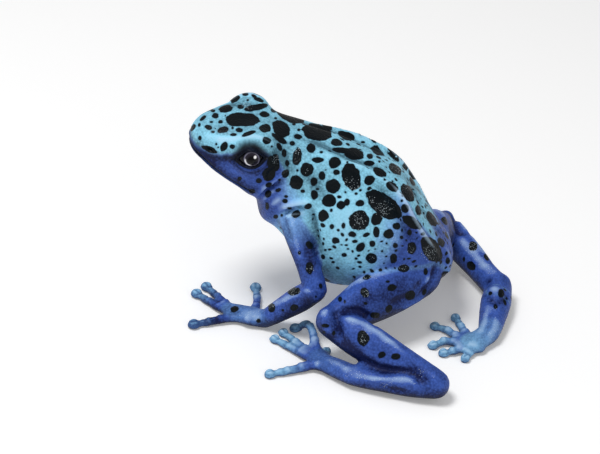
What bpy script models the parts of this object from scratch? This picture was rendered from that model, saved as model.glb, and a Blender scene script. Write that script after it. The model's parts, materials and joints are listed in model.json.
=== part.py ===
"""Poison dart frog, sitting, life size: one closed body for each part of the frog.

Metres, +Z up. The frog faces -X, its left side is -Y, its feet stand on z = 0.
All sizes below are in millimetres and are scaled once, in add_node().
"""
import math

import bmesh
import bpy
import numpy as np
from mathutils import Vector
from mathutils.bvhtree import BVHTree

MM = 0.001
GAP = 0.30                      # joint between two neighbouring nodes
FLOOR = 0.0

# Axis of the body: pelvis, trunk direction and head direction (degrees).
PELVIS = np.array([7.9, 1.3, 11.2])
TRUNK_YAW, TRUNK_PITCH = 9.1, 31.9
HEAD_YAW, HEAD_PITCH, HEAD_ROLL = 17.3, 16.0, -7.0
EYE_LINE = np.array([-17.15, -3.33, 27.37])
NECK_AT = 23.4                  # trunk station of the cut between torso and head

# Eyes, in the head's own frame (x forward, y to the frog's left, z up, from the eye line).
EYE_SPREAD = 4.15
EYE_AT = (0.1, -0.2)            # the eyeball's place ahead of and above the eye line
MOUND_AT = (0.0, 0.1)           # the same for the swelling of the head that holds it
EYE_RADIUS = 2.25
MOUND_RADIUS, MOUND_SOFT = 2.85, 1.2
EYE_SLIT = (2.2, 1.55)          # half length and half height of the lid opening
EYE_CANT = (9.0, 12.0, 27.0)    # forward tilt, upward tilt and turn of the eye's axis

# Mouth, nostrils and ear.
MOUTH_WIDTH, MOUTH_DEPTH = 0.36, 0.62
MOUTH_LINE = [(0.0, -3.1), (0.25, -3.42), (0.42, -4.0), (0.62, -4.45), (0.82, -4.75), (1.0, -5.1)]
NOSTRIL = (5.0, 3.2, -2.15)
EAR = (-3.4, 6.2, -1.2)
EAR_RADIUS = 0.95

# Trunk rings: station along the trunk, centre height, pitch, half width, up, down, squareness.
TRUNK_ROWS = [
    (-5.10, -0.9, 31.9, 1.1, 0.8, 1.0, 2.0, 2.0),
    (-4.60, -0.9, 31.9, 2.5, 1.7, 2.2, 2.0, 2.0),
    (-3.40, -0.6, 31.9, 4.1, 2.7, 3.5, 2.1, 2.0),
    (-1.40, -0.3, 31.9, 5.5, 3.4, 5.2, 2.2, 2.0),
    (1.20, 0.0, 31.9, 6.9, 4.2, 7.5, 2.2, 2.0),
    (4.50, 0.0, 31.9, 8.1, 5.6, 10.1, 2.2, 2.0),
    (8.50, 0.0, 31.9, 8.9, 6.9, 12.4, 2.2, 2.0),
    (12.50, 0.0, 31.9, 9.0, 7.3, 12.4, 2.2, 2.0),
    (16.50, 0.0, 31.0, 8.4, 6.8, 10.3, 2.2, 2.0),
    (20.00, 0.0, 29.0, 7.5, 6.1, 9.3, 2.2, 2.1),
    (23.00, 0.0, 26.0, 6.8, 5.2, 9.1, 2.2, 2.3),
]
# Head rings: distance ahead of the eye line, centre height, half width, top, bottom, squareness.
HEAD_ROWS = [
    (-3.60, -2.4, 6.5, 2.7, -8.2, 2.2, 2.6),
    (-1.50, -2.6, 6.4, 2.8, -7.3, 2.4, 2.7),
    (0.50, -2.6, 5.9, 2.6, -6.4, 2.8, 2.7),
    (2.30, -2.6, 5.2, 2.3, -5.95, 3.1, 2.6),
    (4.05, -2.5, 4.4, 1.75, -5.5, 3.1, 2.5),
    (5.60, -2.3, 3.5, 1.05, -4.9, 2.9, 2.3),
    (6.80, -2.15, 2.7, 0.35, -4.15, 2.5, 2.2),
    (7.50, -2.0, 1.8, -0.45, -3.4, 2.1, 2.1),
    (7.85, -1.85, 0.8, -1.2, -2.5, 2.0, 2.0),
]

# Limb joints (x, y, z).
SHOULDER_L, SHOULDER_R = (-9.6, -7.2, 17.2), (-11.2, 4.5, 17.4)
ELBOW_L, ELBOW_R = (-5.6, -10.1, 8.4), (-2.9, 10.4, 9.9)
WRIST_L, WRIST_R = (-12.4, -8.9, 1.35), (-3.9, 11.6, 1.4)
HIP_L, HIP_R = (7.6, -2.7, 8.9), (7.6, 5.3, 8.9)
KNEE_L, KNEE_R = (-2.6, -14.4, 6.6), (9.9, 18.7, 3.9)
HEEL_L, HEEL_R = (12.5, -19.2, 2.5), (19.4, 6.0, 2.4)
INSTEP_L, INSTEP_R = (1.4, -19.0, 1.65), (18.8, -3.9, 1.5)
BALL_L, BALL_R = (-3.4, -15.9, 0.88), (16.6, -6.7, 0.88)


def rot(yaw, pitch, roll):
    """Head or trunk frame: columns are forward, left and up."""
    y, p, r = (math.radians(a) for a in (yaw, pitch, roll))
    rz = np.array([[math.cos(y), -math.sin(y), 0], [math.sin(y), math.cos(y), 0], [0, 0, 1]])
    ry = np.array([[math.cos(p), 0, -math.sin(p)], [0, 1, 0], [math.sin(p), 0, math.cos(p)]])
    rx = np.array([[1, 0, 0], [0, math.cos(r), -math.sin(r)], [0, math.sin(r), math.cos(r)]])
    return np.diag([-1.0, -1.0, 1.0]) @ rz @ ry @ rx


M_TRUNK = rot(TRUNK_YAW, TRUNK_PITCH, 0)
M_HEAD = rot(HEAD_YAW, HEAD_PITCH, HEAD_ROLL)


def head_point(x, y, z):
    return EYE_LINE + M_HEAD @ np.array([x, y, z], float)


def unit(v):
    v = np.asarray(v, float)
    return v / np.linalg.norm(v)


def spline(rows, per):
    """Catmull-Rom through rows; per = steps in each interval."""
    rows = np.asarray(rows, float)
    ext = np.vstack([2 * rows[0] - rows[1], rows, 2 * rows[-1] - rows[-2]])
    out = []
    for i in range(1, len(ext) - 2):
        p0, p1, p2, p3 = ext[i - 1:i + 3]
        n = per[i - 1] if hasattr(per, "__len__") else per
        for k in range(n):
            t = k / n
            out.append(0.5 * (2 * p1 + (p2 - p0) * t + (2 * p0 - 5 * p1 + 4 * p2 - p3) * t ** 2
                              + (3 * p1 - p0 - 3 * p2 + p3) * t ** 3))
    out.append(ext[-2])
    return np.array(out)


def skin_rings(rings, first, last):
    """Closed mesh from equal rings, with a pole point at each end."""
    bm = bmesh.new()
    vs = [[bm.verts.new(p) for p in ring] for ring in rings]
    n = len(vs[0])
    for a, b in zip(vs[:-1], vs[1:]):
        for i in range(n):
            j = (i + 1) % n
            bm.faces.new((a[i], a[j], b[j], b[i]))
    pole_a, pole_b = bm.verts.new(first), bm.verts.new(last)
    for i in range(n):
        j = (i + 1) % n
        bm.faces.new((pole_a, vs[0][j], vs[0][i]))
        bm.faces.new((pole_b, vs[-1][i], vs[-1][j]))
    bmesh.ops.recalc_face_normals(bm, faces=bm.faces)
    return bm


def body_rows():
    """Centre, yaw, pitch, roll and section of every body ring, in one list."""
    rows = []
    for x, zc, pitch, w, up, dn, nu, nd in TRUNK_ROWS:
        c = PELVIS + M_TRUNK @ np.array([x, 0, 0]) + rot(TRUNK_YAW, pitch, 0) @ np.array([0, 0, zc])
        k = max(0.0, (x - 16.0) / 10.0)
        rows.append([*c, TRUNK_YAW + 4.0 * k, pitch, HEAD_ROLL * 0.5 * k, w, up, dn, nu, nd])
    for i, (x, zc, w, top, bottom, nu, nd) in enumerate(HEAD_ROWS):
        pitch = HEAD_PITCH + (2.5, 0.5)[i] if i < 2 else HEAD_PITCH
        rows.append([*head_point(x, 0, zc), HEAD_YAW, pitch, HEAD_ROLL, w, top - zc, zc - bottom,
                     nu, nd])
    return rows


def power(v, n):
    return np.sign(v) * np.abs(v) ** (2.0 / n)


def ridge(x, side, t):
    """Low fold along the edge of the back, from behind the eye to the hip (x = ring number)."""
    at = math.radians(48)
    d = min(abs(t - at), abs(t - (math.pi - at)))
    return 0.55 * math.exp(-(d / 0.17) ** 2) * math.exp(-((x - side) / 5.0) ** 2)


def body_mesh(n=34):
    """Trunk and head as one closed loft, with the two eye mounds raised on it."""
    steps = [2] * (len(TRUNK_ROWS) + len(HEAD_ROWS) - 1)
    for i in (4, 5, 6, 7, 8):
        steps[i] = 3
    for i in (12, 13, 14, 15):
        steps[i] = 3
    table = spline(body_rows(), steps)
    rings = []
    eyes = [head_point(MOUND_AT[0], s * EYE_SPREAD, MOUND_AT[1]) for s in (1, -1)]
    for k, row in enumerate(table):
        c, (yaw, pitch, roll, w, up, dn, nu, nd) = row[:3], row[3:]
        m = rot(yaw, pitch, roll)
        ring = []
        for i in range(n):
            t = 2 * math.pi * (i + 0.5) / n
            cs, sn = math.cos(t), math.sin(t)
            nn, hh = (nu, up) if sn > 0 else (nd, dn)
            y, z = w * power(cs, nn), hh * power(sn, nn)
            f = 1.0 + ridge(k, 6.0, t) / math.hypot(y, z) if sn > 0 else 1.0
            p = c + m @ np.array([0, y * f, z * f])
            for e in eyes:
                d = np.linalg.norm(p - e)
                q = 0.5 * (d + MOUND_RADIUS + math.sqrt((d - MOUND_RADIUS) ** 2 + MOUND_SOFT))
                fade = min(1.0, max(0.0, (MOUND_RADIUS + 3.0 - d) / 2.0))
                p = e + (p - e) * (1 + (q / d - 1) * fade * fade * (3 - 2 * fade))
            ring.append(p)
        rings.append(ring)
    a = PELVIS + M_TRUNK @ np.array([-5.3, 0, -0.6])
    return skin_rings(rings, a, head_point(7.95, 0, -1.85))


def tube(points, half_w, half_h, n=16, per=3, round_a=True, round_b=True, up=(0, 0, 1)):
    """Rounded limb along a spline: half widths (level) and half heights at each point."""
    rows = [[*p, w, h] for p, w, h in zip(points, half_w, half_h)]
    tab = spline(rows, per)
    cen, wid, hei = tab[:, :3], tab[:, 3], tab[:, 4]
    tan = np.gradient(cen, axis=0)
    tan /= np.linalg.norm(tan, axis=1)[:, None]
    if round_a:
        r = 0.5 * (wid[0] + hei[0])
        add = [(a, math.sin(a)) for a in (math.radians(24), math.radians(52))]
        pre = [cen[0] - tan[0] * r * math.cos(a) for a, s in add]
        cen = np.vstack([pre, cen])
        wid = np.concatenate([[wid[0] * s for a, s in add], wid])
        hei = np.concatenate([[hei[0] * s for a, s in add], hei])
        tan = np.vstack([tan[0], tan[0], tan])
    if round_b:
        r = 0.5 * (wid[-1] + hei[-1])
        add = [(a, math.sin(a)) for a in (math.radians(52), math.radians(24))]
        post = [cen[-1] + tan[-1] * r * math.cos(a) for a, s in add]
        cen = np.vstack([cen, post])
        wid = np.concatenate([wid, [wid[-1] * s for a, s in add]])
        hei = np.concatenate([hei, [hei[-1] * s for a, s in add]])
        tan = np.vstack([tan, tan[-1], tan[-1]])
    upv = unit(up)
    rings = []
    for c, w, h, t in zip(cen, wid, hei, tan):
        side = unit(np.cross(upv, t))
        top = unit(np.cross(t, side))
        rings.append([c + side * w * math.cos(2 * math.pi * i / n)
                      + top * h * math.sin(2 * math.pi * i / n) for i in range(n)])
    ra = (cen[0] - tan[0] * 0.10 * (wid[0] + hei[0])) if round_a else cen[0]
    rb = (cen[-1] + tan[-1] * 0.10 * (wid[-1] + hei[-1])) if round_b else cen[-1]
    return skin_rings(rings, ra, rb)


def cut(bm, point, normal):
    """Keep the side the normal points to; the cut face is flat and closed."""
    geom = bm.verts[:] + bm.edges[:] + bm.faces[:]
    res = bmesh.ops.bisect_plane(bm, geom=geom, dist=1e-5, plane_co=Vector(point),
                                 plane_no=Vector(unit(normal)), clear_inner=True)
    edges = [e for e in bm.edges if e.is_boundary]
    if edges:
        bmesh.ops.holes_fill(bm, edges=edges, sides=0)
    bmesh.ops.recalc_face_normals(bm, faces=bm.faces)
    return bm


def part_at(bm, joint, toward_own, toward_other):
    """Cut a limb on the plane that halves the joint, half a gap to its own side."""
    nrm = unit(unit(np.subtract(toward_own, joint)) - unit(np.subtract(toward_other, joint)))
    return cut(bm, np.asarray(joint) + nrm * GAP / 2, nrm)


def group(name):
    """The collection of that name, made on first use."""
    col = bpy.data.collections.get(name)
    if col is None:
        col = bpy.data.collections.new(name)
        bpy.context.scene.collection.children.link(col)
    return col


def to_object(bm, name):
    mesh = bpy.data.meshes.new(name)
    bm.to_mesh(mesh)
    bm.free()
    return bpy.data.objects.new(name, mesh)


def grown(bm, by=GAP):
    """A copy of a mesh with every point moved out along its normal."""
    cp = bm.copy()
    cp.normal_update()
    for v, d in [(v, v.normal.copy()) for v in cp.verts]:
        v.co += d * by
    return cp


def subtract(bm, cutters):
    """Exact difference with each cutter in turn."""
    scene = bpy.context.scene
    own = to_object(bm, "own")
    scene.collection.objects.link(own)
    tools = []
    for i, c in enumerate(cutters):
        tool = to_object(c, "tool_%d" % i)
        group("cutters").objects.link(tool)
        tool.hide_render = True
        tool.display_type = "WIRE"
        mod = own.modifiers.new("cut_%d" % i, "BOOLEAN")
        mod.operation = "DIFFERENCE"
        mod.solver = "EXACT"
        mod.object = tool
        tools.append(tool)
    deps = bpy.context.evaluated_depsgraph_get()
    out = bmesh.new()
    out.from_mesh(own.evaluated_get(deps).to_mesh())
    for ob in [own] + tools:
        bpy.data.objects.remove(ob, do_unlink=True)
    bmesh.ops.remove_doubles(out, verts=out.verts, dist=0.01)
    bmesh.ops.recalc_face_normals(out, faces=out.faces)
    return out


def ball(center, radii, axes=None, seg=24, rings=12):
    bm = bmesh.new()
    bmesh.ops.create_uvsphere(bm, u_segments=seg, v_segments=rings, radius=1.0)
    m = np.eye(3) if axes is None else np.asarray(axes)
    for v in bm.verts:
        v.co = Vector(np.asarray(center) + m @ (np.array(v.co) * np.asarray(radii)))
    bm.normal_update()
    bmesh.ops.recalc_face_normals(bm, faces=bm.faces)
    return bm


def eye_frame(s):
    """Axes of an eye: out of the socket, back along the slit, up (s = 1 left, -1 right)."""
    fwd, lift, turn = (math.radians(a) for a in EYE_CANT)
    out = unit([math.sin(fwd), s * math.cos(fwd), math.tan(lift)])
    upv = unit(np.array([0, 0, 1.0]) - out * out[2])
    along = np.cross(upv, out)
    c, k = math.cos(turn), s * math.sin(turn)
    return M_HEAD @ np.column_stack([out, c * along + k * upv, c * upv - k * along])


def eye_centre(s):
    return head_point(EYE_AT[0], s * EYE_SPREAD, EYE_AT[1])


def slit_cutter(s):
    """Almond-shaped prism that opens the lids in front of the eyeball."""
    c, f = eye_centre(s), eye_frame(s)
    a, b = EYE_SLIT
    rings = []
    for depth, grow in ((0.4, 0.55), (1.6, 0.9), (3.0, 1.0), (5.0, 1.35)):
        ring = []
        for i in range(18):
            t = 2 * math.pi * i / 18
            y = a * math.cos(t)
            z = b * math.copysign(abs(math.sin(t)) ** 1.25, math.sin(t))
            ring.append(c + f @ np.array([depth, y * grow, z * grow]))
        rings.append(ring)
    return skin_rings(rings, c + f @ np.array([0.3, 0, 0]), c + f @ np.array([5.1, 0, 0]))


def eye_ball(s):
    """Eyeball with a low clear bulge that fills the lid opening."""
    c, f = eye_centre(s), eye_frame(s)
    bm = bmesh.new()
    bmesh.ops.create_uvsphere(bm, u_segments=22, v_segments=12, radius=1.0)
    for v in bm.verts:
        d = np.array(v.co)
        x, y, z = d[2], d[0], d[1]
        bulge = 0.0
        if x > 0:
            q = (y / 0.66) ** 2 + (z / 0.40) ** 2
            bulge = 0.42 * math.exp(-q * 1.6)
        r = EYE_RADIUS + bulge
        v.co = Vector(c + f @ (np.array([x, y, z]) * r))
    bm.normal_update()
    bmesh.ops.recalc_face_normals(bm, faces=bm.faces)
    return bm


def mouth_cutter(head):
    """Thin bent blade along the lips, from one corner of the mouth round the snout."""
    tree = BVHTree.FromBMesh(head)
    rings = []
    line = spline(MOUTH_LINE, 6)
    top_half = MOUTH_WIDTH / 2
    start, reach = np.array([1.0, 0.0]), 100.0
    for i in range(37):
        f = -1 + 2 * i / 36
        a = math.radians(reach) * 1.16 * f
        z = np.interp(abs(f), line[:, 0], line[:, 1]) + 0.18 * math.exp(-(f / 0.10) ** 2)
        d = M_HEAD @ np.array([math.cos(a), math.sin(a), 0])
        o = head_point(start[0], start[1], z)
        hit = tree.ray_cast(Vector(o), Vector(d))[0]
        hit = np.array(hit)
        deep = MOUTH_DEPTH * (1 - 0.45 * abs(f) ** 6)
        half = top_half * (1 - 0.35 * abs(f) ** 6)
        u = M_HEAD @ np.array([0, 0, 1.0])
        rings.append([hit - d * deep - u * half * 0.75, hit + d * 0.9 - u * half * 1.3,
                      hit + d * 0.9 + u * half * 1.3, hit - d * deep + u * half * 0.75])
    mid = [np.mean(r, axis=0) for r in (rings[0], rings[-1])]
    return skin_rings(rings, mid[0], mid[1])


def ring_cutter(center, axis, radius, wire, squash=1.0, seg=16, sides=8):
    """Torus used to press the rim of the ear cup into the skin."""
    ax = unit(axis)
    e1 = unit(np.cross([0, 0, 1], ax))
    e2 = np.cross(ax, e1)
    bm = bmesh.new()
    vs = []
    for i in range(seg):
        t = 2 * math.pi * i / seg
        d = e1 * math.cos(t) + e2 * math.sin(t) * squash
        c = np.asarray(center) + d * radius
        vs.append([bm.verts.new(c + unit(d) * wire * math.cos(2 * math.pi * j / sides)
                                + ax * wire * math.sin(2 * math.pi * j / sides))
                   for j in range(sides)])
    for i in range(seg):
        a, b = vs[i], vs[(i + 1) % seg]
        for j in range(sides):
            k = (j + 1) % sides
            bm.faces.new((a[j], a[k], b[k], b[j]))
    bmesh.ops.recalc_face_normals(bm, faces=bm.faces)
    return bm


def build_head(body):
    """Head side of the neck cut, with sockets, lids, mouth, nostrils and ear cups."""
    axis = -(rot(TRUNK_YAW + 3, 23.0, 0)[:, 0])
    at = PELVIS + M_TRUNK @ np.array([NECK_AT, 0, 0])
    head = cut(body.copy(), at - axis * GAP / 2, -axis)
    tree = BVHTree.FromBMesh(head)
    cutters = [mouth_cutter(head)]
    for s in (1, -1):
        cutters.append(slit_cutter(s))
        c, f = eye_centre(s), eye_frame(s)
        cutters.append(ball(c, (EYE_RADIUS + GAP,) * 3, f[:, (1, 2, 0)], seg=20, rings=12))
        x, y, z = NOSTRIL
        o = head_point(x, s * (y - 1.5), z)
        hit, nrm = tree.ray_cast(Vector(o), Vector(M_HEAD @ np.array([0.25, s, 0.25])))[:2]
        out = np.array(nrm)
        along = M_HEAD @ np.array([-0.95, s * 0.3, -0.05])
        along = unit(along - out * (along @ out))
        fr = np.column_stack([along, out, np.cross(along, out)])
        cutters.append(ball(np.array(hit), (0.62, 0.55, 0.26), fr, seg=14, rings=10))
        x, y, z = EAR
        hit, nrm = tree.ray_cast(Vector(head_point(x, s * 2.0, z)),
                                 Vector(M_HEAD @ np.array([0, s, 0])))[:2]
        cutters.append(ring_cutter(np.array(hit) + np.array(nrm) * 0.02, np.array(nrm),
                                   EAR_RADIUS, 0.26, 1.1))
    return subtract(head, cutters)


def build_torso(body):
    axis = -(rot(TRUNK_YAW + 3, 23.0, 0)[:, 0])
    at = PELVIS + M_TRUNK @ np.array([NECK_AT, 0, 0])
    return cut(body.copy(), at + axis * GAP / 2, axis)


def lerp(a, b, t):
    return np.asarray(a, float) * (1 - t) + np.asarray(b, float) * t


def limb_nodes(torso):
    """Arms and legs: each segment is cut from its neighbours on a flat or fitted face."""
    out = {}
    trunk = grown(torso)
    for side, s in (("left", 1), ("right", -1)):
        sh, el, wr = (SHOULDER_L, ELBOW_L, WRIST_L) if s > 0 else (SHOULDER_R, ELBOW_R, WRIST_R)
        hip, kn, he, ins, bl = ((HIP_L, KNEE_L, HEEL_L, INSTEP_L, BALL_L) if s > 0 else
                                (HIP_R, KNEE_R, HEEL_R, INSTEP_R, BALL_R))
        bm = tube([sh, lerp(sh, el, 0.3), lerp(sh, el, 0.65), el], (2.2, 1.95, 1.65, 1.65),
                  (2.2, 2.0, 1.7, 1.65))
        bm = part_at(bm, el, sh, wr)
        out["upper_arm_" + side] = subtract(bm, [trunk.copy()])
        bm = tube([el, lerp(el, wr, 0.3), lerp(el, wr, 0.7), wr], (1.65, 1.8, 1.6, 1.35),
                  (1.65, 1.85, 1.6, 1.3))
        bm = part_at(bm, el, wr, sh)
        tip = PALM[side][1]
        bm = part_at(bm, wr, el, tip)
        out["forearm_" + side] = cut(bm, (0, 0, FLOOR), (0, 0, 1))
        bm = tube([hip, lerp(hip, kn, 0.3), lerp(hip, kn, 0.62), kn],
                  (3.5, 3.5, 3.0, 2.0), (3.8, 3.9, 3.3, 2.2), n=18)
        bm = part_at(bm, kn, hip, he)
        out["thigh_" + side] = subtract(bm, [trunk.copy()])
        fat = 1.0 if s > 0 else 0.88
        bm = tube([kn, lerp(kn, he, 0.3), lerp(kn, he, 0.62), he],
                  (2.1, 2.4 * fat, 2.1 * fat, 1.95), (2.3, 2.85 * fat, 2.5 * fat, 2.05))
        bm = part_at(bm, kn, he, hip)
        out["shank_" + side] = cut(part_at(bm, he, kn, ins), (0, 0, FLOOR), (0, 0, 1))
        bm = tube([he, lerp(he, ins, 0.35), lerp(he, ins, 0.75), ins], (1.95, 2.2, 1.9, 1.6),
                  (2.05, 2.0, 1.65, 1.4))
        bm = part_at(bm, he, ins, kn)
        bm = part_at(bm, ins, he, bl)
        out["tarsus_" + side] = cut(bm, (0, 0, FLOOR), (0, 0, 1))
        bm = tube([ins, lerp(ins, bl, 0.5), bl, bl + unit(np.subtract(bl, ins)) * 0.8],
                  (1.6, 1.6, 1.65, 1.4), (1.4, 1.2, 1.0, 0.8))
        bm = part_at(bm, ins, bl, he)
        out["foot_" + side] = cut(bm, (0, 0, FLOOR), (0, 0, 1))
        a, b = PALM[side]
        bm = tube([wr, lerp(a, b, 0.45), b, np.asarray(b) + unit(np.subtract(b, a)) * 0.5],
                  (1.35, 1.75, 1.9, 1.6), (1.3, 1.1, 0.95, 0.8))
        bm = part_at(bm, wr, b, el)
        out["hand_" + side] = cut(bm, (0, 0, FLOOR), (0, 0, 1))
    return out


PALM = {"left": (WRIST_L, (-17.0, -7.7, 0.87)), "right": (WRIST_R, (-7.3, 12.5, 0.85))}

# Digits: root and path on the floor; the last point is the middle of the round tip disc.
FINGERS = {
    "left": [
        [(-14.9, -8.2, 0.9), (-14.3, -5.8, 0.8), (-14.6, -3.0, 0.62), (-15.3, -0.2, 0.5)],
        [(-16.6, -7.6, 0.9), (-18.6, -5.9, 0.8), (-20.4, -3.9, 0.62), (-22.2, -2.0, 0.5)],
        [(-17.2, -8.1, 0.9), (-19.0, -7.2, 0.8), (-21.2, -5.6, 0.62), (-23.2, -4.1, 0.5)],
        [(-16.8, -8.8, 0.9), (-18.4, -9.7, 0.8), (-20.2, -10.7, 0.62), (-22.0, -11.6, 0.5)],
    ],
    "right": [
        [(-6.9, 11.8, 0.9), (-7.2, 10.4, 0.8), (-7.8, 8.9, 0.62), (-8.5, 7.4, 0.5)],
        [(-7.5, 12.2, 0.9), (-8.7, 11.6, 0.8), (-9.7, 11.0, 0.62), (-10.7, 10.6, 0.5)],
        [(-7.7, 12.8, 0.9), (-8.9, 13.6, 0.8), (-9.9, 14.5, 0.62), (-10.9, 15.4, 0.5)],
        [(-7.1, 13.2, 0.9), (-7.4, 14.6, 0.8), (-7.5, 16.1, 0.62), (-7.3, 17.5, 0.5)],
    ],
}
TOES = {
    "left": [
        [(-2.7, -15.3, 0.9), (-2.8, -14.5, 0.75), (-2.9, -13.7, 0.6), (-3.0, -12.9, 0.45)],
        [(-3.7, -15.3, 1.0), (-4.6, -13.1, 1.3), (-5.4, -11.0, 2.1), (-6.4, -9.4, 2.0),
         (-7.2, -8.7, 1.1), (-8.2, -8.7, 0.45)],
        [(-4.2, -15.6, 0.9), (-5.9, -13.7, 0.8), (-7.7, -11.9, 0.6), (-9.5, -10.2, 0.45)],
        [(-4.2, -16.0, 0.9), (-6.2, -14.7, 0.8), (-8.4, -13.3, 0.6), (-10.4, -12.0, 0.45)],
        [(-3.9, -16.6, 0.9), (-5.7, -17.9, 0.75), (-7.7, -19.1, 0.6), (-9.7, -20.1, 0.45)],
    ],
    "right": [
        [(16.9, -6.4, 0.85), (16.7, -7.9, 0.7), (16.4, -8.8, 0.6), (16.0, -9.5, 0.45)],
        [(15.9, -7.3, 0.9), (14.8, -8.1, 0.75), (13.8, -8.6, 0.6), (12.9, -9.0, 0.45)],
        [(15.6, -6.9, 0.9), (14.2, -6.6, 0.85), (12.9, -6.4, 0.7), (11.3, -7.6, 0.45)],
        [(15.8, -6.0, 0.9), (14.2, -4.9, 0.8), (12.9, -3.6, 0.62), (11.1, -2.9, 0.45)],
        [(16.2, -5.8, 0.9), (15.4, -3.6, 0.75), (14.6, -1.8, 0.6), (13.8, 0.0, 0.45)],
    ],
}


def digit(path, disc, thick=0.55):
    """Finger or toe that ends in a round flat disc."""
    pts = [np.asarray(p, float) for p in path]
    end, back = pts[-1], unit(pts[-1] - pts[-2])
    flat = unit([back[0], back[1], 0])
    stop = end - back * disc * 1.05
    line = spline([p for p in pts[:-1] if np.dot(stop - p, back) > 0.6] + [stop], 3)
    half = np.interp(np.linspace(0, 1, len(line)), (0, 0.3, 0.62, 0.72, 1),
                     (0.9, 0.66, 0.54, 0.62, 0.46)) * thick / 0.55
    rows = list(zip(line, half, half))
    for k, w in ((-0.72, 0.78), (-0.35, 0.96), (0.0, 1.0), (0.38, 0.92), (0.72, 0.66)):
        rows.append((end + flat * disc * k, disc * w, thick * (0.88 + 0.12 * (1 - abs(k)))))
    pts = [r[0] for r in rows]
    return tube(pts, [r[1] for r in rows], [r[2] for r in rows], n=10, per=1, round_a=True,
                round_b=False)


def fence(bm, own, other):
    """Keep a digit on its own side of the upright plane between it and its neighbour."""
    long_a, long_b = (np.linalg.norm(p[-1] - p[0]) for p in (own, other))
    a = (own[1] + other[1]) / 2
    along = (own[-1] + other[-1]) / 2 - a
    if min(long_a, long_b) < 0.55 * max(long_a, long_b):
        along = unit(own[1] - own[0]) + unit(other[1] - other[0])
    nrm = unit([-along[1], along[0], 0])
    if np.dot(own[1] - other[1], nrm) < 0:
        nrm = -nrm
    return cut(bm, a + nrm * GAP / 2, nrm)


def digit_nodes(hands):
    out = {}
    for side in ("left", "right"):
        for word, table, root, disc in (("finger", FINGERS, "hand_", 0.92),
                                        ("toe", TOES, "foot_", 0.80)):
            paths = [[np.asarray(p, float) for p in path] for path in table[side]]
            for i, path in enumerate(paths, 1):
                bm = digit(path, disc * (0.9 if (word, i) == ("toe", 1) else 1.0))
                if i > 1:
                    bm = fence(bm, path, paths[i - 2])
                if i < len(paths):
                    bm = fence(bm, path, paths[i])
                bm = cut(bm, (0, 0, FLOOR), (0, 0, 1))
                out["%s_%s_%d" % (word, side, i)] = subtract(bm, [grown(hands[root + side])])
    return out


COLOURS = {"head": (0.24, 0.62, 0.80), "torso": (0.24, 0.62, 0.80), "eye": (0.01, 0.01, 0.012),
           "limb": (0.03, 0.07, 0.38), "digit": (0.12, 0.36, 0.62)}


def material_for(name):
    key = ("eye" if name.startswith("eye") else name if name in COLOURS else
           "digit" if name.startswith(("finger", "toe")) else "limb")
    mat = bpy.data.materials.new("paint_" + name)
    mat.use_nodes = True
    node = mat.node_tree.nodes["Principled BSDF"]
    node.inputs["Base Color"].default_value = (*COLOURS[key], 1)
    node.inputs["Roughness"].default_value = 0.1 if key == "eye" else 0.4
    mat.diffuse_color = (*COLOURS[key], 1)
    return mat


def add_node(name, bm, shift):
    for v in bm.verts:
        v.co = (v.co - Vector(shift)) * MM
    bmesh.ops.triangulate(bm, faces=bm.faces)
    ob = to_object(bm, name)
    ob.data.materials.append(material_for(name))
    group("poison_dart_frog").objects.link(ob)
    return ob


def main():
    for ob in list(bpy.data.objects):
        bpy.data.objects.remove(ob, do_unlink=True)
    body = body_mesh()
    nodes = {"torso": build_torso(body), "head": build_head(body)}
    nodes["eye_left"], nodes["eye_right"] = eye_ball(1), eye_ball(-1)
    nodes.update(limb_nodes(nodes["torso"]))
    nodes.update(digit_nodes(nodes))
    low, high = np.full(3, 1e9), np.full(3, -1e9)
    for bm in nodes.values():
        co = np.array([v.co for v in bm.verts])
        low, high = np.minimum(low, co.min(0)), np.maximum(high, co.max(0))
    shift = ((low[0] + high[0]) / 2, (low[1] + high[1]) / 2, low[2])
    print("shift", [round(v, 4) for v in shift], "size", np.round(high - low, 2))
    for name, bm in nodes.items():
        add_node(name, bm, shift)


main()
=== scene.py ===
"""Blue poison dart frog at life size: one painted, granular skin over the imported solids, and two wet eyes.

The skin is lofted from the same named sizes as the solids, fused into one surface, and then shaped by
small moves of its points: lids, lips, nostrils, ear discs, folds, muscles, knuckles and pads.
Everything is worked out in millimetres in the frog's own frame (it faces -X, its left is -Y, the floor
is z = 0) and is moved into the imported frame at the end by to_frame().
"""
import json
import math

import bmesh
import bpy
import numpy as np
from mathutils import Matrix, Vector
from mathutils.bvhtree import BVHTree

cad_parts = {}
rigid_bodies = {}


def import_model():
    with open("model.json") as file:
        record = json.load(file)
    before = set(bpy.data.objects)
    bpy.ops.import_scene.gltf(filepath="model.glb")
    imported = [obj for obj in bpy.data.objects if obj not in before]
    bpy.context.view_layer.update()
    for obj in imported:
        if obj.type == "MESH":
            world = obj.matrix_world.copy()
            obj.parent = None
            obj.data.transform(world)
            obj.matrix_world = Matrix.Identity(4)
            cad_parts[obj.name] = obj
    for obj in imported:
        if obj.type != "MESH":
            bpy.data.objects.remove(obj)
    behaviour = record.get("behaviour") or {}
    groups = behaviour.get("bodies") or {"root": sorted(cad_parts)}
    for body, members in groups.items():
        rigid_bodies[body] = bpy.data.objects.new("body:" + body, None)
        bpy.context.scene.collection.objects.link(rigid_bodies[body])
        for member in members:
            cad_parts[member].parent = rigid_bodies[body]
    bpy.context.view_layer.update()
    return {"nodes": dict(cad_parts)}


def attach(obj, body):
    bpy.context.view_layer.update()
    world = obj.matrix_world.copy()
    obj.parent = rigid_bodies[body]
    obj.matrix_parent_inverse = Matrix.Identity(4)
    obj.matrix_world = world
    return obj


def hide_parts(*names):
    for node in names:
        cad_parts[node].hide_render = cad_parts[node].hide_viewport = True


MM = 0.001
SHIFT = np.array([-1.9258, -0.2668, 0.0])      # the solids' own origin, in the frog's frame
VOXEL = 0.310                                  # fineness of the fused skin before the head is refined

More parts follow.
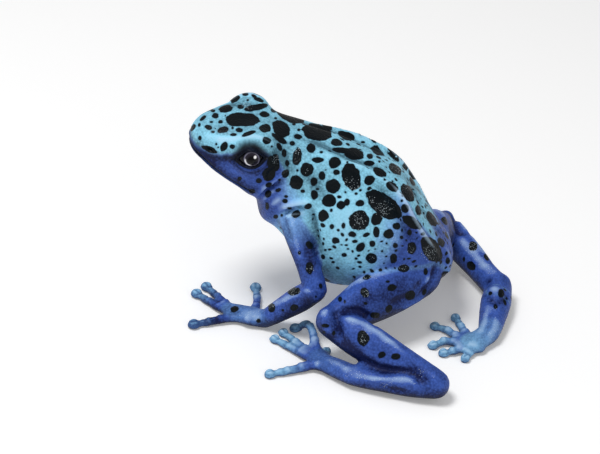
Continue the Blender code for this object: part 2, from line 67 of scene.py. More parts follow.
# Axis of the body: pelvis, trunk direction and head direction (degrees).
PELVIS = np.array([7.9, 1.3, 11.2])
TRUNK_YAW, TRUNK_PITCH = 9.1, 31.9
HEAD_YAW, HEAD_PITCH, HEAD_ROLL = 17.3, 16.0, -7.0
EYE_LINE = np.array([-17.15, -3.33, 27.37])

# Eyes, in the head's own frame (x forward, y to the frog's left, z up, from the eye line).
EYE_SPREAD = 4.15
EYE_AT, MOUND_AT = (0.1, -0.2), (0.0, 0.1)     # ahead of and above the eye line: eyeball, its swelling
EYE_RADIUS, MOUND_RADIUS, MOUND_SOFT = 2.25, 2.85, 1.2
EYE_SLIT = (2.22, 1.52, 1.22)                  # half length, upper and lower half height of the opening
EYE_SLIT_AT = (-0.12, -0.10)                   # middle of the opening, back and up from the eye's axis
EYE_CANT = (9.0, 12.0, 27.0)                   # forward tilt, upward tilt and turn of the eye's axis
# Rims and creases round the opening, all round, below and above: share of the opening, width, height.
LID_FORMS = (((1.10, 0.07, 0.09),), ((1.24, 0.06, -0.10), (1.36, 0.07, 0.06), (1.50, 0.08, -0.08)),
             ((1.30, 0.14, -0.22), (1.85, 0.30, 0.12)))

MOUTH_LINE = [(0.0, -3.1), (0.25, -3.42), (0.42, -4.0), (0.62, -4.45), (0.82, -4.75), (1.0, -5.1)]
MOUTH_REACH = 116.0                            # degrees from the front of the lips to their corner
MOUTH_BACK = -4.5                              # the lips end ahead of this place
NOSTRIL, NOSTRIL_SLIT = (5.0, 3.2, -2.15), (0.50, 0.19)
EAR, EAR_RADIUS = (-3.4, 6.2, -1.2), 0.95

# Trunk rings: station along the trunk, centre height, pitch, half width, up, down, squareness.
TRUNK_ROWS = [
    (-5.10, -0.9, 31.9, 1.1, 0.8, 1.0, 2.0, 2.0),
    (-4.60, -0.9, 31.9, 2.5, 1.7, 2.2, 2.0, 2.0),
    (-3.40, -0.6, 31.9, 4.1, 2.7, 3.5, 2.1, 2.0),
    (-1.40, -0.3, 31.9, 5.5, 3.4, 5.2, 2.2, 2.0),
    (1.20, 0.0, 31.9, 6.9, 4.2, 7.5, 2.2, 2.0),
    (4.50, 0.0, 31.9, 8.1, 5.6, 10.1, 2.2, 2.0),
    (8.50, 0.0, 31.9, 8.9, 6.9, 12.4, 2.2, 2.0),
    (12.50, 0.0, 31.9, 9.0, 7.3, 12.4, 2.2, 2.0),
    (16.50, 0.0, 31.0, 8.4, 6.8, 10.3, 2.2, 2.0),
    (20.00, 0.0, 29.0, 7.5, 6.1, 9.3, 2.2, 2.1),
    (23.00, 0.0, 26.0, 6.8, 5.2, 9.1, 2.2, 2.3),
]
# Head rings: distance ahead of the eye line, centre height, half width, top, bottom, squareness.
HEAD_ROWS = [
    (-3.60, -2.4, 6.5, 2.7, -8.2, 2.2, 2.6),
    (-1.50, -2.6, 6.4, 2.8, -7.3, 2.4, 2.7),
    (0.50, -2.6, 5.9, 2.6, -6.4, 2.8, 2.7),
    (2.30, -2.6, 5.2, 2.3, -5.95, 3.1, 2.6),
    (4.05, -2.5, 4.4, 1.75, -5.5, 3.1, 2.5),
    (5.60, -2.3, 3.5, 1.05, -4.9, 2.9, 2.3),
    (6.80, -2.15, 2.7, 0.35, -4.15, 2.5, 2.2),
    (7.50, -2.0, 1.8, -0.45, -3.4, 2.1, 2.1),
    (7.85, -1.85, 0.8, -1.2, -2.5, 2.0, 2.0),
]

SIDES = ("left", "right")
# Limb joints (x, y, z), left and right.
JOINTS = {
    "left": {"shoulder": (-9.6, -7.2, 17.2), "elbow": (-5.6, -10.1, 8.4), "wrist": (-12.4, -8.9, 1.35),
             "palm": (-17.0, -7.7, 0.87), "hip": (7.6, -2.7, 8.9), "knee": (-2.6, -14.4, 6.6),
             "heel": (12.5, -19.2, 2.5), "instep": (1.4, -19.0, 1.65), "ball": (-3.4, -15.9, 0.88)},
    "right": {"shoulder": (-11.2, 4.5, 17.4), "elbow": (-2.9, 10.4, 9.9), "wrist": (-3.9, 11.6, 1.4),
              "palm": (-7.3, 12.5, 0.85), "hip": (7.6, 5.3, 8.9), "knee": (9.9, 18.7, 3.9),
              "heel": (19.4, 6.0, 2.4), "instep": (18.8, -3.9, 1.5), "ball": (16.6, -6.7, 0.88)},
}
SOFT_JOINTS = {"shoulder": 1.8, "hip": 5.0, "elbow": 1.7, "knee": 1.7, "heel": 1.8, "wrist": 1.8, "instep": 1.8,
               "palm": 2.4, "ball": 2.2}       # how far round a joint the skin is smoothed
# Limb pieces: from, to, then half widths and half heights at these shares of the length.
STATIONS = (0, 0.3, 0.65, 1)
LIMBS = {
    "upper_arm": ("shoulder", "elbow", (2.2, 1.95, 1.65, 1.65), (2.2, 2.0, 1.7, 1.65)),
    "forearm": ("elbow", "wrist", (1.65, 1.8, 1.6, 1.35), (1.65, 1.85, 1.6, 1.3)),
    "hand": ("wrist", "palm", (1.35, 1.6, 1.8, 1.9), (1.3, 1.2, 1.05, 0.95)),
    "thigh": ("hip", "knee", (3.5, 3.5, 3.0, 2.0), (3.8, 3.9, 3.3, 2.2)),
    "shank": ("knee", "heel", (2.1, 2.4, 2.1, 1.95), (2.3, 2.85, 2.5, 2.05)),
    "tarsus": ("heel", "instep", (1.95, 2.2, 1.95, 1.6), (2.05, 2.0, 1.7, 1.4)),
    "foot": ("instep", "ball", (1.6, 1.6, 1.65, 1.65), (1.4, 1.25, 1.1, 1.0)),
}
# Digits: path on the floor; the last point is the middle of the round tip disc.
FINGERS = {
    "left": [
        [(-14.9, -8.2, 0.9), (-14.3, -5.8, 0.8), (-14.6, -3.0, 0.62), (-15.3, -0.2, 0.5)],
        [(-16.6, -7.6, 0.9), (-18.6, -5.9, 0.8), (-20.4, -3.9, 0.62), (-22.2, -2.0, 0.5)],
        [(-17.2, -8.1, 0.9), (-19.0, -7.2, 0.8), (-21.2, -5.6, 0.62), (-23.2, -4.1, 0.5)],
        [(-16.8, -8.8, 0.9), (-18.4, -9.7, 0.8), (-20.2, -10.7, 0.62), (-22.0, -11.6, 0.5)],
    ],
    "right": [
        [(-6.9, 11.8, 0.9), (-7.2, 10.4, 0.8), (-7.8, 8.9, 0.62), (-8.5, 7.4, 0.5)],
        [(-7.5, 12.2, 0.9), (-8.7, 11.6, 0.8), (-9.7, 11.0, 0.62), (-10.7, 10.6, 0.5)],
        [(-7.7, 12.8, 0.9), (-8.9, 13.6, 0.8), (-9.9, 14.5, 0.62), (-10.9, 15.4, 0.5)],
        [(-7.1, 13.2, 0.9), (-7.4, 14.6, 0.8), (-7.5, 16.1, 0.62), (-7.3, 17.5, 0.5)],
    ],
}
TOES = {
    "left": [
        [(-2.7, -15.3, 0.9), (-2.8, -14.5, 0.75), (-2.9, -13.7, 0.6), (-3.0, -12.9, 0.45)],
        [(-3.7, -15.3, 1.0), (-4.6, -13.1, 1.3), (-5.4, -11.0, 2.1), (-6.4, -9.4, 2.0),
         (-7.2, -8.7, 1.1), (-8.2, -8.7, 0.45)],
        [(-4.2, -15.6, 0.9), (-5.9, -13.7, 0.8), (-7.7, -11.9, 0.6), (-9.5, -10.2, 0.45)],
        [(-4.2, -16.0, 0.9), (-6.2, -14.7, 0.8), (-8.4, -13.3, 0.6), (-10.4, -12.0, 0.45)],
        [(-3.9, -16.6, 0.9), (-5.7, -17.9, 0.75), (-7.7, -19.1, 0.6), (-9.7, -20.1, 0.45)],
    ],
    "right": [
        [(16.9, -6.4, 0.85), (16.7, -7.9, 0.7), (16.4, -8.8, 0.6), (16.0, -9.5, 0.45)],
        [(15.9, -7.3, 0.9), (14.8, -8.1, 0.75), (13.8, -8.6, 0.6), (12.9, -9.0, 0.45)],
        [(15.6, -6.9, 0.9), (14.2, -6.6, 0.85), (12.9, -6.4, 0.7), (11.3, -7.6, 0.45)],
        [(15.8, -6.0, 0.9), (14.2, -4.9, 0.8), (12.9, -3.6, 0.62), (11.1, -2.9, 0.45)],
        [(16.2, -5.8, 0.9), (15.4, -3.6, 0.75), (14.6, -1.8, 0.6), (13.8, 0.0, 0.45)],
    ],
}
FINGER_DISC, TOE_DISC = 0.92, 0.80
KNUCKLES = (0.34, 0.62)                        # shares of a digit's length

# Camera: its axes and place in the frog's frame, and its focal length in pixels of a 600 wide frame.
BACK = np.array([0.0961, -0.8422, 0.5305])
RIGHT = np.array([0.9841, 0.1605, 0.0766])
UP = np.array([-0.1497, 0.5147, 0.8442])
CAMERA = np.array([14.06, -208.13, 142.82])
FOCAL, FRAME = 1750.6, (600.0, 454.0)

# Black markings of the side that faces the camera: u, v, half length, half height, and tilt where it has one.
# Places are in pixels of the 600 x 454 frame; each marking is laid on the skin that lies there.
MARKS = [
    (242.4, 119.7, 17.5, 7.2, 2), (225.9, 108.7, 7.2, 3.8, -10), (240.8, 106.8, 2.9, 2),
    (256, 107.5, 12, 3.2, -12), (235.5, 99.1, 5, 2.8, -35), (245.1, 94.4, 3, 1.8), (254.2, 96.3, 3, 1.5, 25),
    (259, 99.6, 5, 2.2, 20), (247.7, 100.1, 1, 1), (213, 110.6, 2.2, 1.5), (215.4, 115.9, 3.4, 2.6),
    (225.3, 115.9, 0.9, 0.9), (203.3, 117.8, 4, 1.8, -40), (211.3, 121.8, 2, 1.2), (220.7, 121.6, 2.3, 2),
    (199.4, 125, 1.2, 1.7), (192.9, 127.4, 4, 2, -55), (208.7, 127.6, 3.5, 2.3, 15), (215.4, 128.5, 0.8, 0.8),
    (213, 131.7, 2, 1.2), (222.8, 130, 5.8, 3.2, -8), (232.4, 128, 1.2, 1.2), (239.5, 129.8, 3.6, 2.3),
    (233.1, 134.8, 3.4, 1.4), (248.4, 133.9, 7.5, 2.2, -20), (199.8, 138.1, 1.6, 2), (224, 146.5, 3.4, 5.2, 25),
    (232.4, 146.7, 2.4, 2), (216.4, 144.1, 1, 1), (218.2, 147.4, 0.9, 0.9), (209.7, 149.4, 7.8, 3, 22),
    (264.2, 114.4, 5, 3.2), (273.3, 110.6, 3.2, 2.8), (275.7, 118.3, 1.6, 1.2), (290, 116.8, 15, 4.5, 15),
    (264.7, 128.3, 6, 4.3), (281.4, 128.8, 10, 7.5, 40), (279.5, 138.9, 8.5, 3.2, 33), (292.4, 143.2, 2.6, 2.2),
    (267.1, 140.8, 4.5, 3.8, 25), (271.9, 146.5, 1.3, 1.3), (279.5, 147, 2.4, 4.2, -25), (284.1, 153.2, 2.3, 4),
    (287.2, 163.3, 2.3, 3.8), (273.6, 163, 6.5, 8.5, 5), (268.6, 174, 6.5, 6.8, 20), (259, 180.5, 2.7, 2.6),
    (239.5, 178.6, 2.4, 2.3), (252.3, 191.5, 3, 2.2), (269, 185.1, 3.4, 2.5, -30), (267.9, 193.9, 3.2, 4, 20),
    (278.1, 190, 2.6, 1.7, -15), (279.5, 180, 1.4, 1.2), (285.5, 173.8, 3.5, 4.5, 25), (286.2, 196.6, 1.7, 1.3),
    (285.3, 201, 2.7, 2.4), (267.1, 206.3, 1.8, 3.6), (289.6, 208.2, 2.6, 1.4), (275.7, 216.7, 2.4, 1.9),
    (281.9, 215.4, 1.3, 1.6), (297.2, 156.6, 4.7, 8.7, 8), (298.2, 136.7, 3.8, 2.6, 10),
    (298.7, 130.2, 1.3, 1.3), (293.9, 124.2, 1.8, 1.3), (304.1, 124.2, 2, 1.2), (317, 132, 15, 8.5, 12),
    (327, 126.4, 5.5, 2.5, 30), (347, 135.9, 9.5, 4, 20), (336.8, 142.3, 6, 3.6, 10),
    (311.1, 148.4, 5, 4.3, 35), (317.5, 159.9, 6, 2.7), (321.1, 152.2, 2, 1.4), (354, 154, 10, 6, 10),
    (343, 150.5, 11, 3, 5), (377, 151.2, 7.8, 4.5, 30), (362.9, 142.3, 2.2, 1.4), (370, 156.3, 3.4, 2.7),
    (369.3, 163.3, 4.8, 2.6), (379.5, 172.3, 7, 4.3, 30), (395.4, 169.1, 7.5, 5.2, 35),
    (405.6, 165.9, 4.5, 2.6, 40), (412.7, 181.2, 4, 5, -25), (407.5, 192.7, 5.5, 10, -28),
    (369.3, 179.9, 5.8, 4.8, -15), (392.2, 186.9, 6.5, 4.5, 35), (351.4, 176.7, 9.5, 13.5, -18),
    (334.8, 162.7, 6, 5.8), (336.8, 172.3, 3.3, 2.8), (332.9, 186.3, 8, 7), (307.4, 169.7, 6.7, 6.8),
    (322.1, 175.5, 3, 4), (313.8, 181.6, 3.6, 4.3), (317.5, 189.1, 2.2, 1.3), (296.3, 182.4, 6.9, 6.7),
    (297.2, 170.4, 1.4, 1.4), (303, 191, 2, 1.5), (314.5, 194.7, 3.5, 4.4), (329.1, 200.3, 6.7, 6.3, -30),
    (341.2, 205.4, 4, 4), (347, 202.2, 2.7, 3.3), (359.7, 203.5, 4.7, 3.4), (383.6, 204.8, 20.5, 10.4, 36),
    (359.1, 220.1, 10.3, 10.3), (376.3, 218.8, 5.7, 6), (405, 208.6, 3.6, 4.2), (412, 222.7, 10.5, 5.5, 30),
    (396.7, 225.8, 4, 3.3), (418.4, 210.5, 3.2, 5.5, -15), (431.8, 218.8, 4.5, 8.5, -30),
    (431.6, 249.8, 8.5, 14.6, -35), (441.4, 242.4, 3.2, 5.2, -25), (323.4, 215.6, 5.2, 5.7),
    (343.5, 225.2, 2.3, 3.3), (331.7, 226.5, 2.4, 2.5), (376.3, 232.2, 3, 5), (388.4, 234.1, 4.9, 5),
    (366.7, 234.8, 3.5, 2.3, -25), (352.4, 234.5, 4.3, 3), (335.7, 240.5, 4.3, 3.4),
    (360.6, 246.9, 5.5, 4, -45), (355, 241.5, 2.8, 1.5), (372.5, 244, 2.8, 3.2), (395.4, 245.4, 2.3, 2.5),
    (411.8, 248.2, 4.7, 6.2), (371.6, 258.4, 5.7, 5.8), (393.5, 258.4, 3.6, 4.8), (344.2, 254.8, 2.6, 2),
    (323.1, 257.1, 2, 2.6), (308.2, 206.3, 4, 2.8, -15), (409.5, 232.5, 2.4, 2.6), (401.7, 237.3, 2.2, 2),
    (309.2, 244.9, 3.3, 4, -35), (309.7, 268.5, 4, 6.4), (320.7, 285.8, 2, 3), (293.9, 291.6, 6, 4, -15),
    (271.7, 307.8, 3.8, 4.8), (294.1, 307.6, 4.3, 3.2, -20), (282.9, 310.2, 1.8, 1.8), (315.9, 296.8, 1.5, 1.5),
    (234.7, 309.3, 4, 2.9, -15), (258.5, 320.8, 2.2, 2), (299.5, 253, 1.5, 2.4), (403.4, 268.4, 5.6, 3.6, -5),
    (367, 277, 4, 2.5, -15), (365.1, 293.1, 3.8, 5.3, -30), (391.6, 287.7, 4.8, 3.8, -15),
    (387.6, 281.8, 2.6, 1.6), (410.1, 295.3, 5.5, 4.5, -35), (388.9, 308.9, 3, 4.5, 25), (374.8, 315.4, 4.5, 3),
    (340.1, 299.4, 2, 2.4), (344.8, 301.5, 1.2, 2.2), (365.4, 303.4, 1.7, 1.7), (425.8, 272, 2, 3.2),
    (424.4, 292.1, 1.8, 3, 20), (403, 313.8, 3, 2), (443.3, 275.5, 4.5, 6.5, 30), (325.3, 325.7, 3.8, 2.3),
    (323.9, 332.2, 1.5, 1.5), (333.8, 332.7, 1.7, 2.5), (363.1, 338.9, 6, 8, -10), (381.9, 355.2, 4, 3.2, -30),
    (395.7, 356.8, 4.5, 3.2), (445.2, 220.4, 5, 4.5), (457.2, 220.6, 2.2, 4, -15), (446.9, 235.2, 3.5, 4.3),
    (447.7, 260.7, 2.2, 3), (472.9, 246.1, 4.3, 4.8), (471.3, 265.6, 4, 5.3, -35), (463.9, 259.4, 1.2, 2.2),
    (486.5, 257.5, 2, 3.8, -30), (501.2, 293, 3.2, 4.0), (495.4, 306.8, 2.2, 2.8), (504.9, 302.5, 1.5, 3, -20),
]

# The sharp hind part of the ridge of the back, in the frame.
RIDGE = [(383.5, 183), (392, 190), (399, 197.5), (405.5, 208.5), (412, 220.5), (420, 233), (429.5, 244.5),
         (438, 256)]
# Relief along lines of the near side: body part, the line's points in the frame, half width, height
# and tone: painted shade (+ darker) or painted highlight (- lighter). The line is laid on the frog's other side
# too, mirrored in that part; a line without a part stays on its own side.
LINES = [
    ("head", [(256.6, 195.3), (263.3, 187.7), (271.9, 182.4), (279.5, 177.6), (289.1, 170)], 0.31, 0.42, -0.46),
    ("head", [(262.5, 200.5), (268.5, 193.5), (275, 188.5)], 0.30, 0.38, -0.46),
    ("head", [(260, 198), (266.5, 190.7), (275, 184.5), (283, 180)], 0.30, -0.40, 0.60),
    ("head", [(272, 150), (279, 158), (285, 167), (288, 176)], 0.8, -0.22, 0.35),
    ("head", [(204, 135), (222, 139.5), (241, 138), (257, 137.5), (268, 141.5), (275, 148)], 0.5, 0.16, -0.85),
    ("", [(226, 104.5), (238, 105), (250, 104.5), (263, 106.5)], 0.4, -0.14, 0.50),
    ("head", [(196, 142), (203, 146.5), (212, 151)], 0.6, 0.0, 0.40),
    ("trunk", [(270.9, 205.4), (276, 201), (281.4, 197.7)], 0.32, 0.34, -0.40),
    ("trunk", [(281.4, 208.2), (290, 204.4), (303.4, 202), (312, 203)], 0.40, 0.60, -0.70),
    ("trunk", [(284, 213), (293.5, 209), (305, 207.3)], 0.36, -0.60, 0.60),
    ("trunk", [(285.3, 217.8), (293.9, 213.5), (304.4, 211.6)], 0.36, 0.42, -0.60),
    ("trunk", RIDGE, 0.26, 0.0, -1.10),
    ("trunk", [(321, 153), (341, 162), (359.5, 169), (373.5, 176.5)] + RIDGE, 0.46, 0.82, -0.28),
    ("trunk", [(364, 172), (380, 185), (391, 198), (398, 211), (405, 225), (413, 238), (423, 252)],
     0.8, -0.34, 0.50),
    ("trunk", [(298, 137), (320, 144), (333, 150), (350, 158), (366, 163), (382, 169)], 0.5, -0.30, 0.85),
    ("trunk", [(303, 168), (312, 180), (320, 190), (330, 199)], 0.9, -0.22, 0.55),
    ("trunk", [(295, 160), (304, 166), (316, 172)], 0.6, 0.10, -0.35),
    ("trunk", [(404, 178), (416, 194), (423, 210), (433, 224), (445, 238)], 0.75, -0.24, 0.60),
    ("trunk", [(445, 250), (449, 258), (448, 268), (440, 276)], 0.5, 0.30, -0.3),
    ("", [(310, 208), (314, 225), (317, 243), (319.5, 262)], 0.50, -0.80, 0.75),
    ("", [(284, 216), (286.5, 229), (291, 243)], 0.5, -0.32, 0.45),
    ("upper_arm", [(291, 216), (293.5, 232), (298, 250), (302, 266)], 0.40, 0.12, -0.35),
    ("", [(305, 224), (307.5, 240), (310, 258), (313, 272)], 0.75, 0.0, 0.60),
    ("thigh", [(343.4, 292), (360.7, 279.5), (390, 271), (412.8, 266.5)], 0.55, 0.22, -0.40),
    ("thigh", [(350, 304), (366, 301), (384, 297), (400, 288), (412, 279)], 1.25, -0.30, 0.55),
    ("thigh", [(386.8, 306), (404, 299), (416, 291), (425, 281)], 0.7, -0.34, 0.65),
    ("thigh", [(430.5, 273), (426, 283), (417, 291), (407, 296)], 0.45, 0.30, -0.75),
    ("thigh", [(425, 296), (415, 304), (399.8, 310)], 0.5, 0.24, -0.60),
    ("thigh", [(437, 264), (433, 275), (427, 286), (420, 294)], 0.5, -0.40, 0.70),
    ("trunk", [(446, 262), (446, 272), (440, 283)], 0.5, 0.40, -0.40),
    ("thigh", [(334.5, 308), (336.5, 317), (338, 330), (341, 341)], 0.50, -0.85, 0.70),
    ("thigh", [(338, 315), (347, 310.5), (358, 311), (367, 316.5), (375, 325)], 0.55, -0.55, 0.80),
    ("shank", [(344, 319), (352, 320), (370, 328), (390, 342), (408, 356)], 0.42, 0.22, -0.50),
    ("shank", [(341, 336), (354, 352), (374, 365), (398, 376)], 0.8, -0.14, 0.70),
    ("shank", [(362, 351), (380, 363), (398, 370)], 0.6, 0.12, -0.20),
    ("shank", [(374, 368), (388, 369.5), (400, 370.5), (411, 372.5), (419.5, 379), (423.5, 387)],
     0.42, -0.42, 0.85),
    ("tarsus", [(360, 379.5), (386, 379), (404, 378.5), (415, 382)], 0.32, 0.20, -0.28),
    ("shank", [(404, 361), (415, 368), (424, 376), (430, 384)], 0.5, -0.22, 0.50),
    ("shank", [(413, 372), (419, 375.5), (424, 381)], 0.4, 0.20, -0.35),
    ("tarsus", [(354.2, 375.6), (386.8, 381), (408.5, 381.5), (416, 386)], 0.34, 0.20, -0.30),
    ("tarsus", [(352, 387), (386.8, 389), (408.5, 392)], 0.45, -0.22, 0.50),
    ("foot", [(330, 360), (343.4, 367), (350, 371)], 0.4, 0.16, -0.3),
    ("forearm", [(309, 288), (296, 295), (283, 300.5), (269, 308)], 0.45, 0.14, -0.30),
    ("forearm", [(306, 299), (294, 304), (281, 310)], 0.5, -0.12, 0.25),
    ("forearm", [(312, 303), (296, 311), (280, 319)], 0.7, 0.0, 0.35),
    ("hand", [(246, 313.5), (253, 317.5), (261, 323)], 0.75, 0.12, -0.28),
    ("hand", [(251, 306), (240, 311), (229, 313)], 0.4, -0.14, 0.45),
    ("hand", [(266, 330), (256, 333), (245, 328)], 0.5, -0.10, 0.55),
    ("hand", [(268, 322), (257, 326), (244, 325)], 0.5, -0.08, 0.30),
    ("", [(452, 222), (464.2, 243.4), (477.2, 257.5), (491, 273)], 0.55, 0.16, -0.40),
    ("", [(449, 226), (452, 240), (454, 255)], 0.5, -0.20, 0.45),
    ("", [(489, 304), (484.5, 322), (479.4, 335)], 0.5, 0.16, -0.35),
    ("", [(497, 316), (494.6, 329.1), (487, 339)], 0.45, 0.10, -0.30),
    ("", [(492, 312), (489, 326), (482, 339)], 0.35, -0.14, 0.30),
    ("", [(487, 297), (491, 301), (497, 302.5), (503.3, 300.5), (508, 295)], 0.42, -0.40, 0.50),
    ("", [(485, 288), (487, 282), (492, 279.5)], 0.42, -0.30, 0.50),
]
# Round bumps: body part, place in the frame, radius, height.
KNOBS = [
    ("thigh", (325, 314), 1.0, 0.40),
    ("thigh", (328.5, 330), 0.85, 0.32),
    ("shank", (433.5, 377), 1.0, 0.30),
    ("tarsus", (440, 386), 0.9, 0.2),
    ("foot", (317.4, 365), 0.7, 0.35),
    ("hand", (247.5, 319.5), 0.6, 0.3),
    ("hand", (262, 328), 0.8, 0.25),
    ("forearm", (309, 291), 0.95, 0.42),
    ("forearm", (316, 299.5), 0.8, 0.32),
    ("", (494.5, 291.5), 1.25, 0.60),
]
# Patches of the near side where the granules' tips get painted highlight dots: place in the frame, radius there.
SPECK_HIGHLIGHTS = [(359, 221, 9), (384, 209, 9), (352, 184, 8), (397, 168, 7), (429, 253, 8), (276, 159, 5),
          (297, 151, 5), (408, 188, 5), (372, 258, 3), (411, 250, 4), (472, 246, 3), (363, 339, 5),
          (310, 269, 4), (293, 292, 5), (403, 268, 4), (366, 293, 4), (247, 104, 6), (371, 199, 5),
          (420, 215, 4), (394, 240, 4), (306, 170, 4), (480, 262, 5), (420, 372, 5), (385, 382, 6)]

# Border of the blue on the trunk: angle of the ridge above the flank at stations along the trunk, and the
# station where the blue of the rear flank starts at heights above the trunk's axis.
RIDGE_ANGLE = ((-1.6, 0.9, 3.7, 6.0, 7.7, 9.2, 10.9, 16.4), (29, 36, 38, 43, 51, 57, 61, 66))
BLUE_START = ((-4, -1.9, 0.8, 2.5, 3.5, 5.3), (7.6, 8.4, 9.2, 10.0, 10.4, 10.6))
# Border of the blue on the face: height above the eye line at places ahead of the eyes.
FACE_LINE = ((-6.5, -4.9, -4.3, -3.4, -2.3, -1.0, 0.2, 1.6, 2.6, 4.0, 5.4, 6.3, 7.8),
             (-2.2, -0.9, -0.3, 0.3, 1.0, 1.7, 1.9, 1.4, 0.1, -1.4, -2.0, -2.3, -2.3))
# Heights above the eye line at places ahead of the eyes: blots lower than the first are laid on the other
# cheek too, and none are scattered below the second.
CHEEK_TOP = ((0, 2.6, 5, 8), (2.0, 0.5, -0.6, -1.2))
BARE_TOP = ((0, 2.6, 5, 8), (2.0, 0.0, -1.5, -2.0))
# Blots of the sides that the camera doesn't see: sizes, tries for each size and gap; on the back and far
# side, the belly, the arms, and as fine dots between all others.
SCATTERED = {
    "back": ((2.0, 1.6, 1.3, 1.05, 0.85, 0.65, 0.5, 0.38, 0.3), (90, 160, 220, 300, 400, 500, 700, 800, 900), 0.22),
    "belly": ((1.2, 0.8, 0.5), (60, 120, 160), 1.0),
    "arms": ((0.85, 0.65, 0.48), (60, 90, 110), 1.1),
    "dots": ((0.30, 0.23, 0.16), (260, 520, 500), 0.27),
}
# How pale limb ends are: at the start and along the piece; digits: from, to and most.
PALE = {"left": {"hand": (0.20, 0.10), "foot": (0.02, 0.12), "fingers": (0.42, 0.95, 0.80),
                 "toes": (0.15, 0.80, 0.85)},
        "right": {"hand": (0.20, 0.10), "foot": (0.25, 0.50), "fingers": (0.42, 0.95, 0.80),
                  "toes": (0.0, 0.80, 0.85)}}


def unit(v):
    v = np.asarray(v, float)
    return v / np.linalg.norm(v)


def smooth(low, high, x):
    t = np.clip((np.asarray(x, float) - low) / (high - low), 0, 1)
    return t * t * (3 - 2 * t)


def bell(x, middle, width):
    """A smooth hump of height 1."""
    return np.exp(-((x - middle) / width) ** 2)


def lengths(rows):
    return np.linalg.norm(rows, axis=1)


def rot(yaw, pitch, roll):
    """Head or trunk frame: columns are forward, left and up."""
    y, p, r = (math.radians(a) for a in (yaw, pitch, roll))
    rz = np.array([[math.cos(y), -math.sin(y), 0], [math.sin(y), math.cos(y), 0], [0, 0, 1]])
    ry = np.array([[math.cos(p), 0, -math.sin(p)], [0, 1, 0], [math.sin(p), 0, math.cos(p)]])
    rx = np.array([[1, 0, 0], [0, math.cos(r), -math.sin(r)], [0, math.sin(r), math.cos(r)]])
    return np.diag([-1.0, -1.0, 1.0]) @ rz @ ry @ rx


M_TRUNK = rot(TRUNK_YAW, TRUNK_PITCH, 0)
M_HEAD = rot(HEAD_YAW, HEAD_PITCH, HEAD_ROLL)


def head_point(x, y, z):
    return EYE_LINE + M_HEAD @ np.array([x, y, z], float)


def head_place(co):
    """Points in the head's own frame."""
    return (co - EYE_LINE) @ M_HEAD


def spline(rows, per):
    """Smooth curve through rows; per = steps in each interval."""
    rows = np.asarray(rows, float)
    ext = np.vstack([2 * rows[0] - rows[1], rows, 2 * rows[-1] - rows[-2]])
    out = []
    for i in range(1, len(ext) - 2):
        p0, p1, p2, p3 = ext[i - 1:i + 3]
        for k in range(per):
            t = k / per
            out.append(0.5 * (2 * p1 + (p2 - p0) * t + (2 * p0 - 5 * p1 + 4 * p2 - p3) * t ** 2
                              + (3 * p1 - p0 - 3 * p2 + p3) * t ** 3))
    out.append(ext[-2])
    return np.array(out)


def loft(bm, rings):
    """Add a closed tube to bm: one circle for each ring, bridged, with both ends filled."""
    loops = []
    for ring in rings:
        verts = bmesh.ops.create_circle(bm, cap_ends=False, segments=len(ring), radius=1.0)["verts"]
        for v, p in zip(verts, ring):
            v.co = p
        loops.append(list({e for v in verts for e in v.link_edges}))
    for a, b in zip(loops, loops[1:]):
        bmesh.ops.bridge_loops(bm, edges=a + b)
    for end in (loops[0], loops[-1]):
        bmesh.ops.holes_fill(bm, edges=end, sides=0)


def power(v, n):
    return math.copysign(abs(v) ** (2.0 / n), v)


def body_rings(n=72, per=5):
    """Rings of the trunk and head, with the two eye mounds raised on them."""
    rows = []
    for x, zc, pitch, w, up, dn, nu, nd in TRUNK_ROWS:
        c = PELVIS + M_TRUNK @ np.array([x, 0, 0]) + rot(TRUNK_YAW, pitch, 0) @ np.array([0, 0, zc])
        k = max(0.0, (x - 16.0) / 10.0)
        rows.append([*c, TRUNK_YAW + 4.0 * k, pitch, HEAD_ROLL * 0.5 * k, w, up, dn, nu, nd])
    for i, (x, zc, w, top, bottom, nu, nd) in enumerate(HEAD_ROWS):
        pitch = HEAD_PITCH + (2.5, 0.5)[i] if i < 2 else HEAD_PITCH
        rows.append([*head_point(x, 0, zc), HEAD_YAW, pitch, HEAD_ROLL, w, top - zc, zc - bottom,
                     nu, nd])
    eyes = [head_point(MOUND_AT[0], s * EYE_SPREAD, MOUND_AT[1]) for s in (1, -1)]
    rings = []
    for row in spline(rows, per):
        c, (yaw, pitch, roll, w, up, dn, nu, nd) = row[:3], row[3:]
        m = rot(yaw, pitch, roll)
        ring = []
        for i in range(n):
            t = 2 * math.pi * (i + 0.5) / n
            cs, sn = math.cos(t), math.sin(t)
            nn, hh = (nu, up) if sn > 0 else (nd, dn)
            p = c + m @ np.array([0, w * power(cs, nn), hh * power(sn, nn)])
            for e in eyes:
                d = np.linalg.norm(p - e)
                q = 0.5 * (d + MOUND_RADIUS + math.sqrt((d - MOUND_RADIUS) ** 2 + MOUND_SOFT))
                p = e + (p - e) * (1 + (q / d - 1) * float(smooth(MOUND_RADIUS + 3, MOUND_RADIUS + 1, d)))
            ring.append(p)
        rings.append(ring)
    return rings


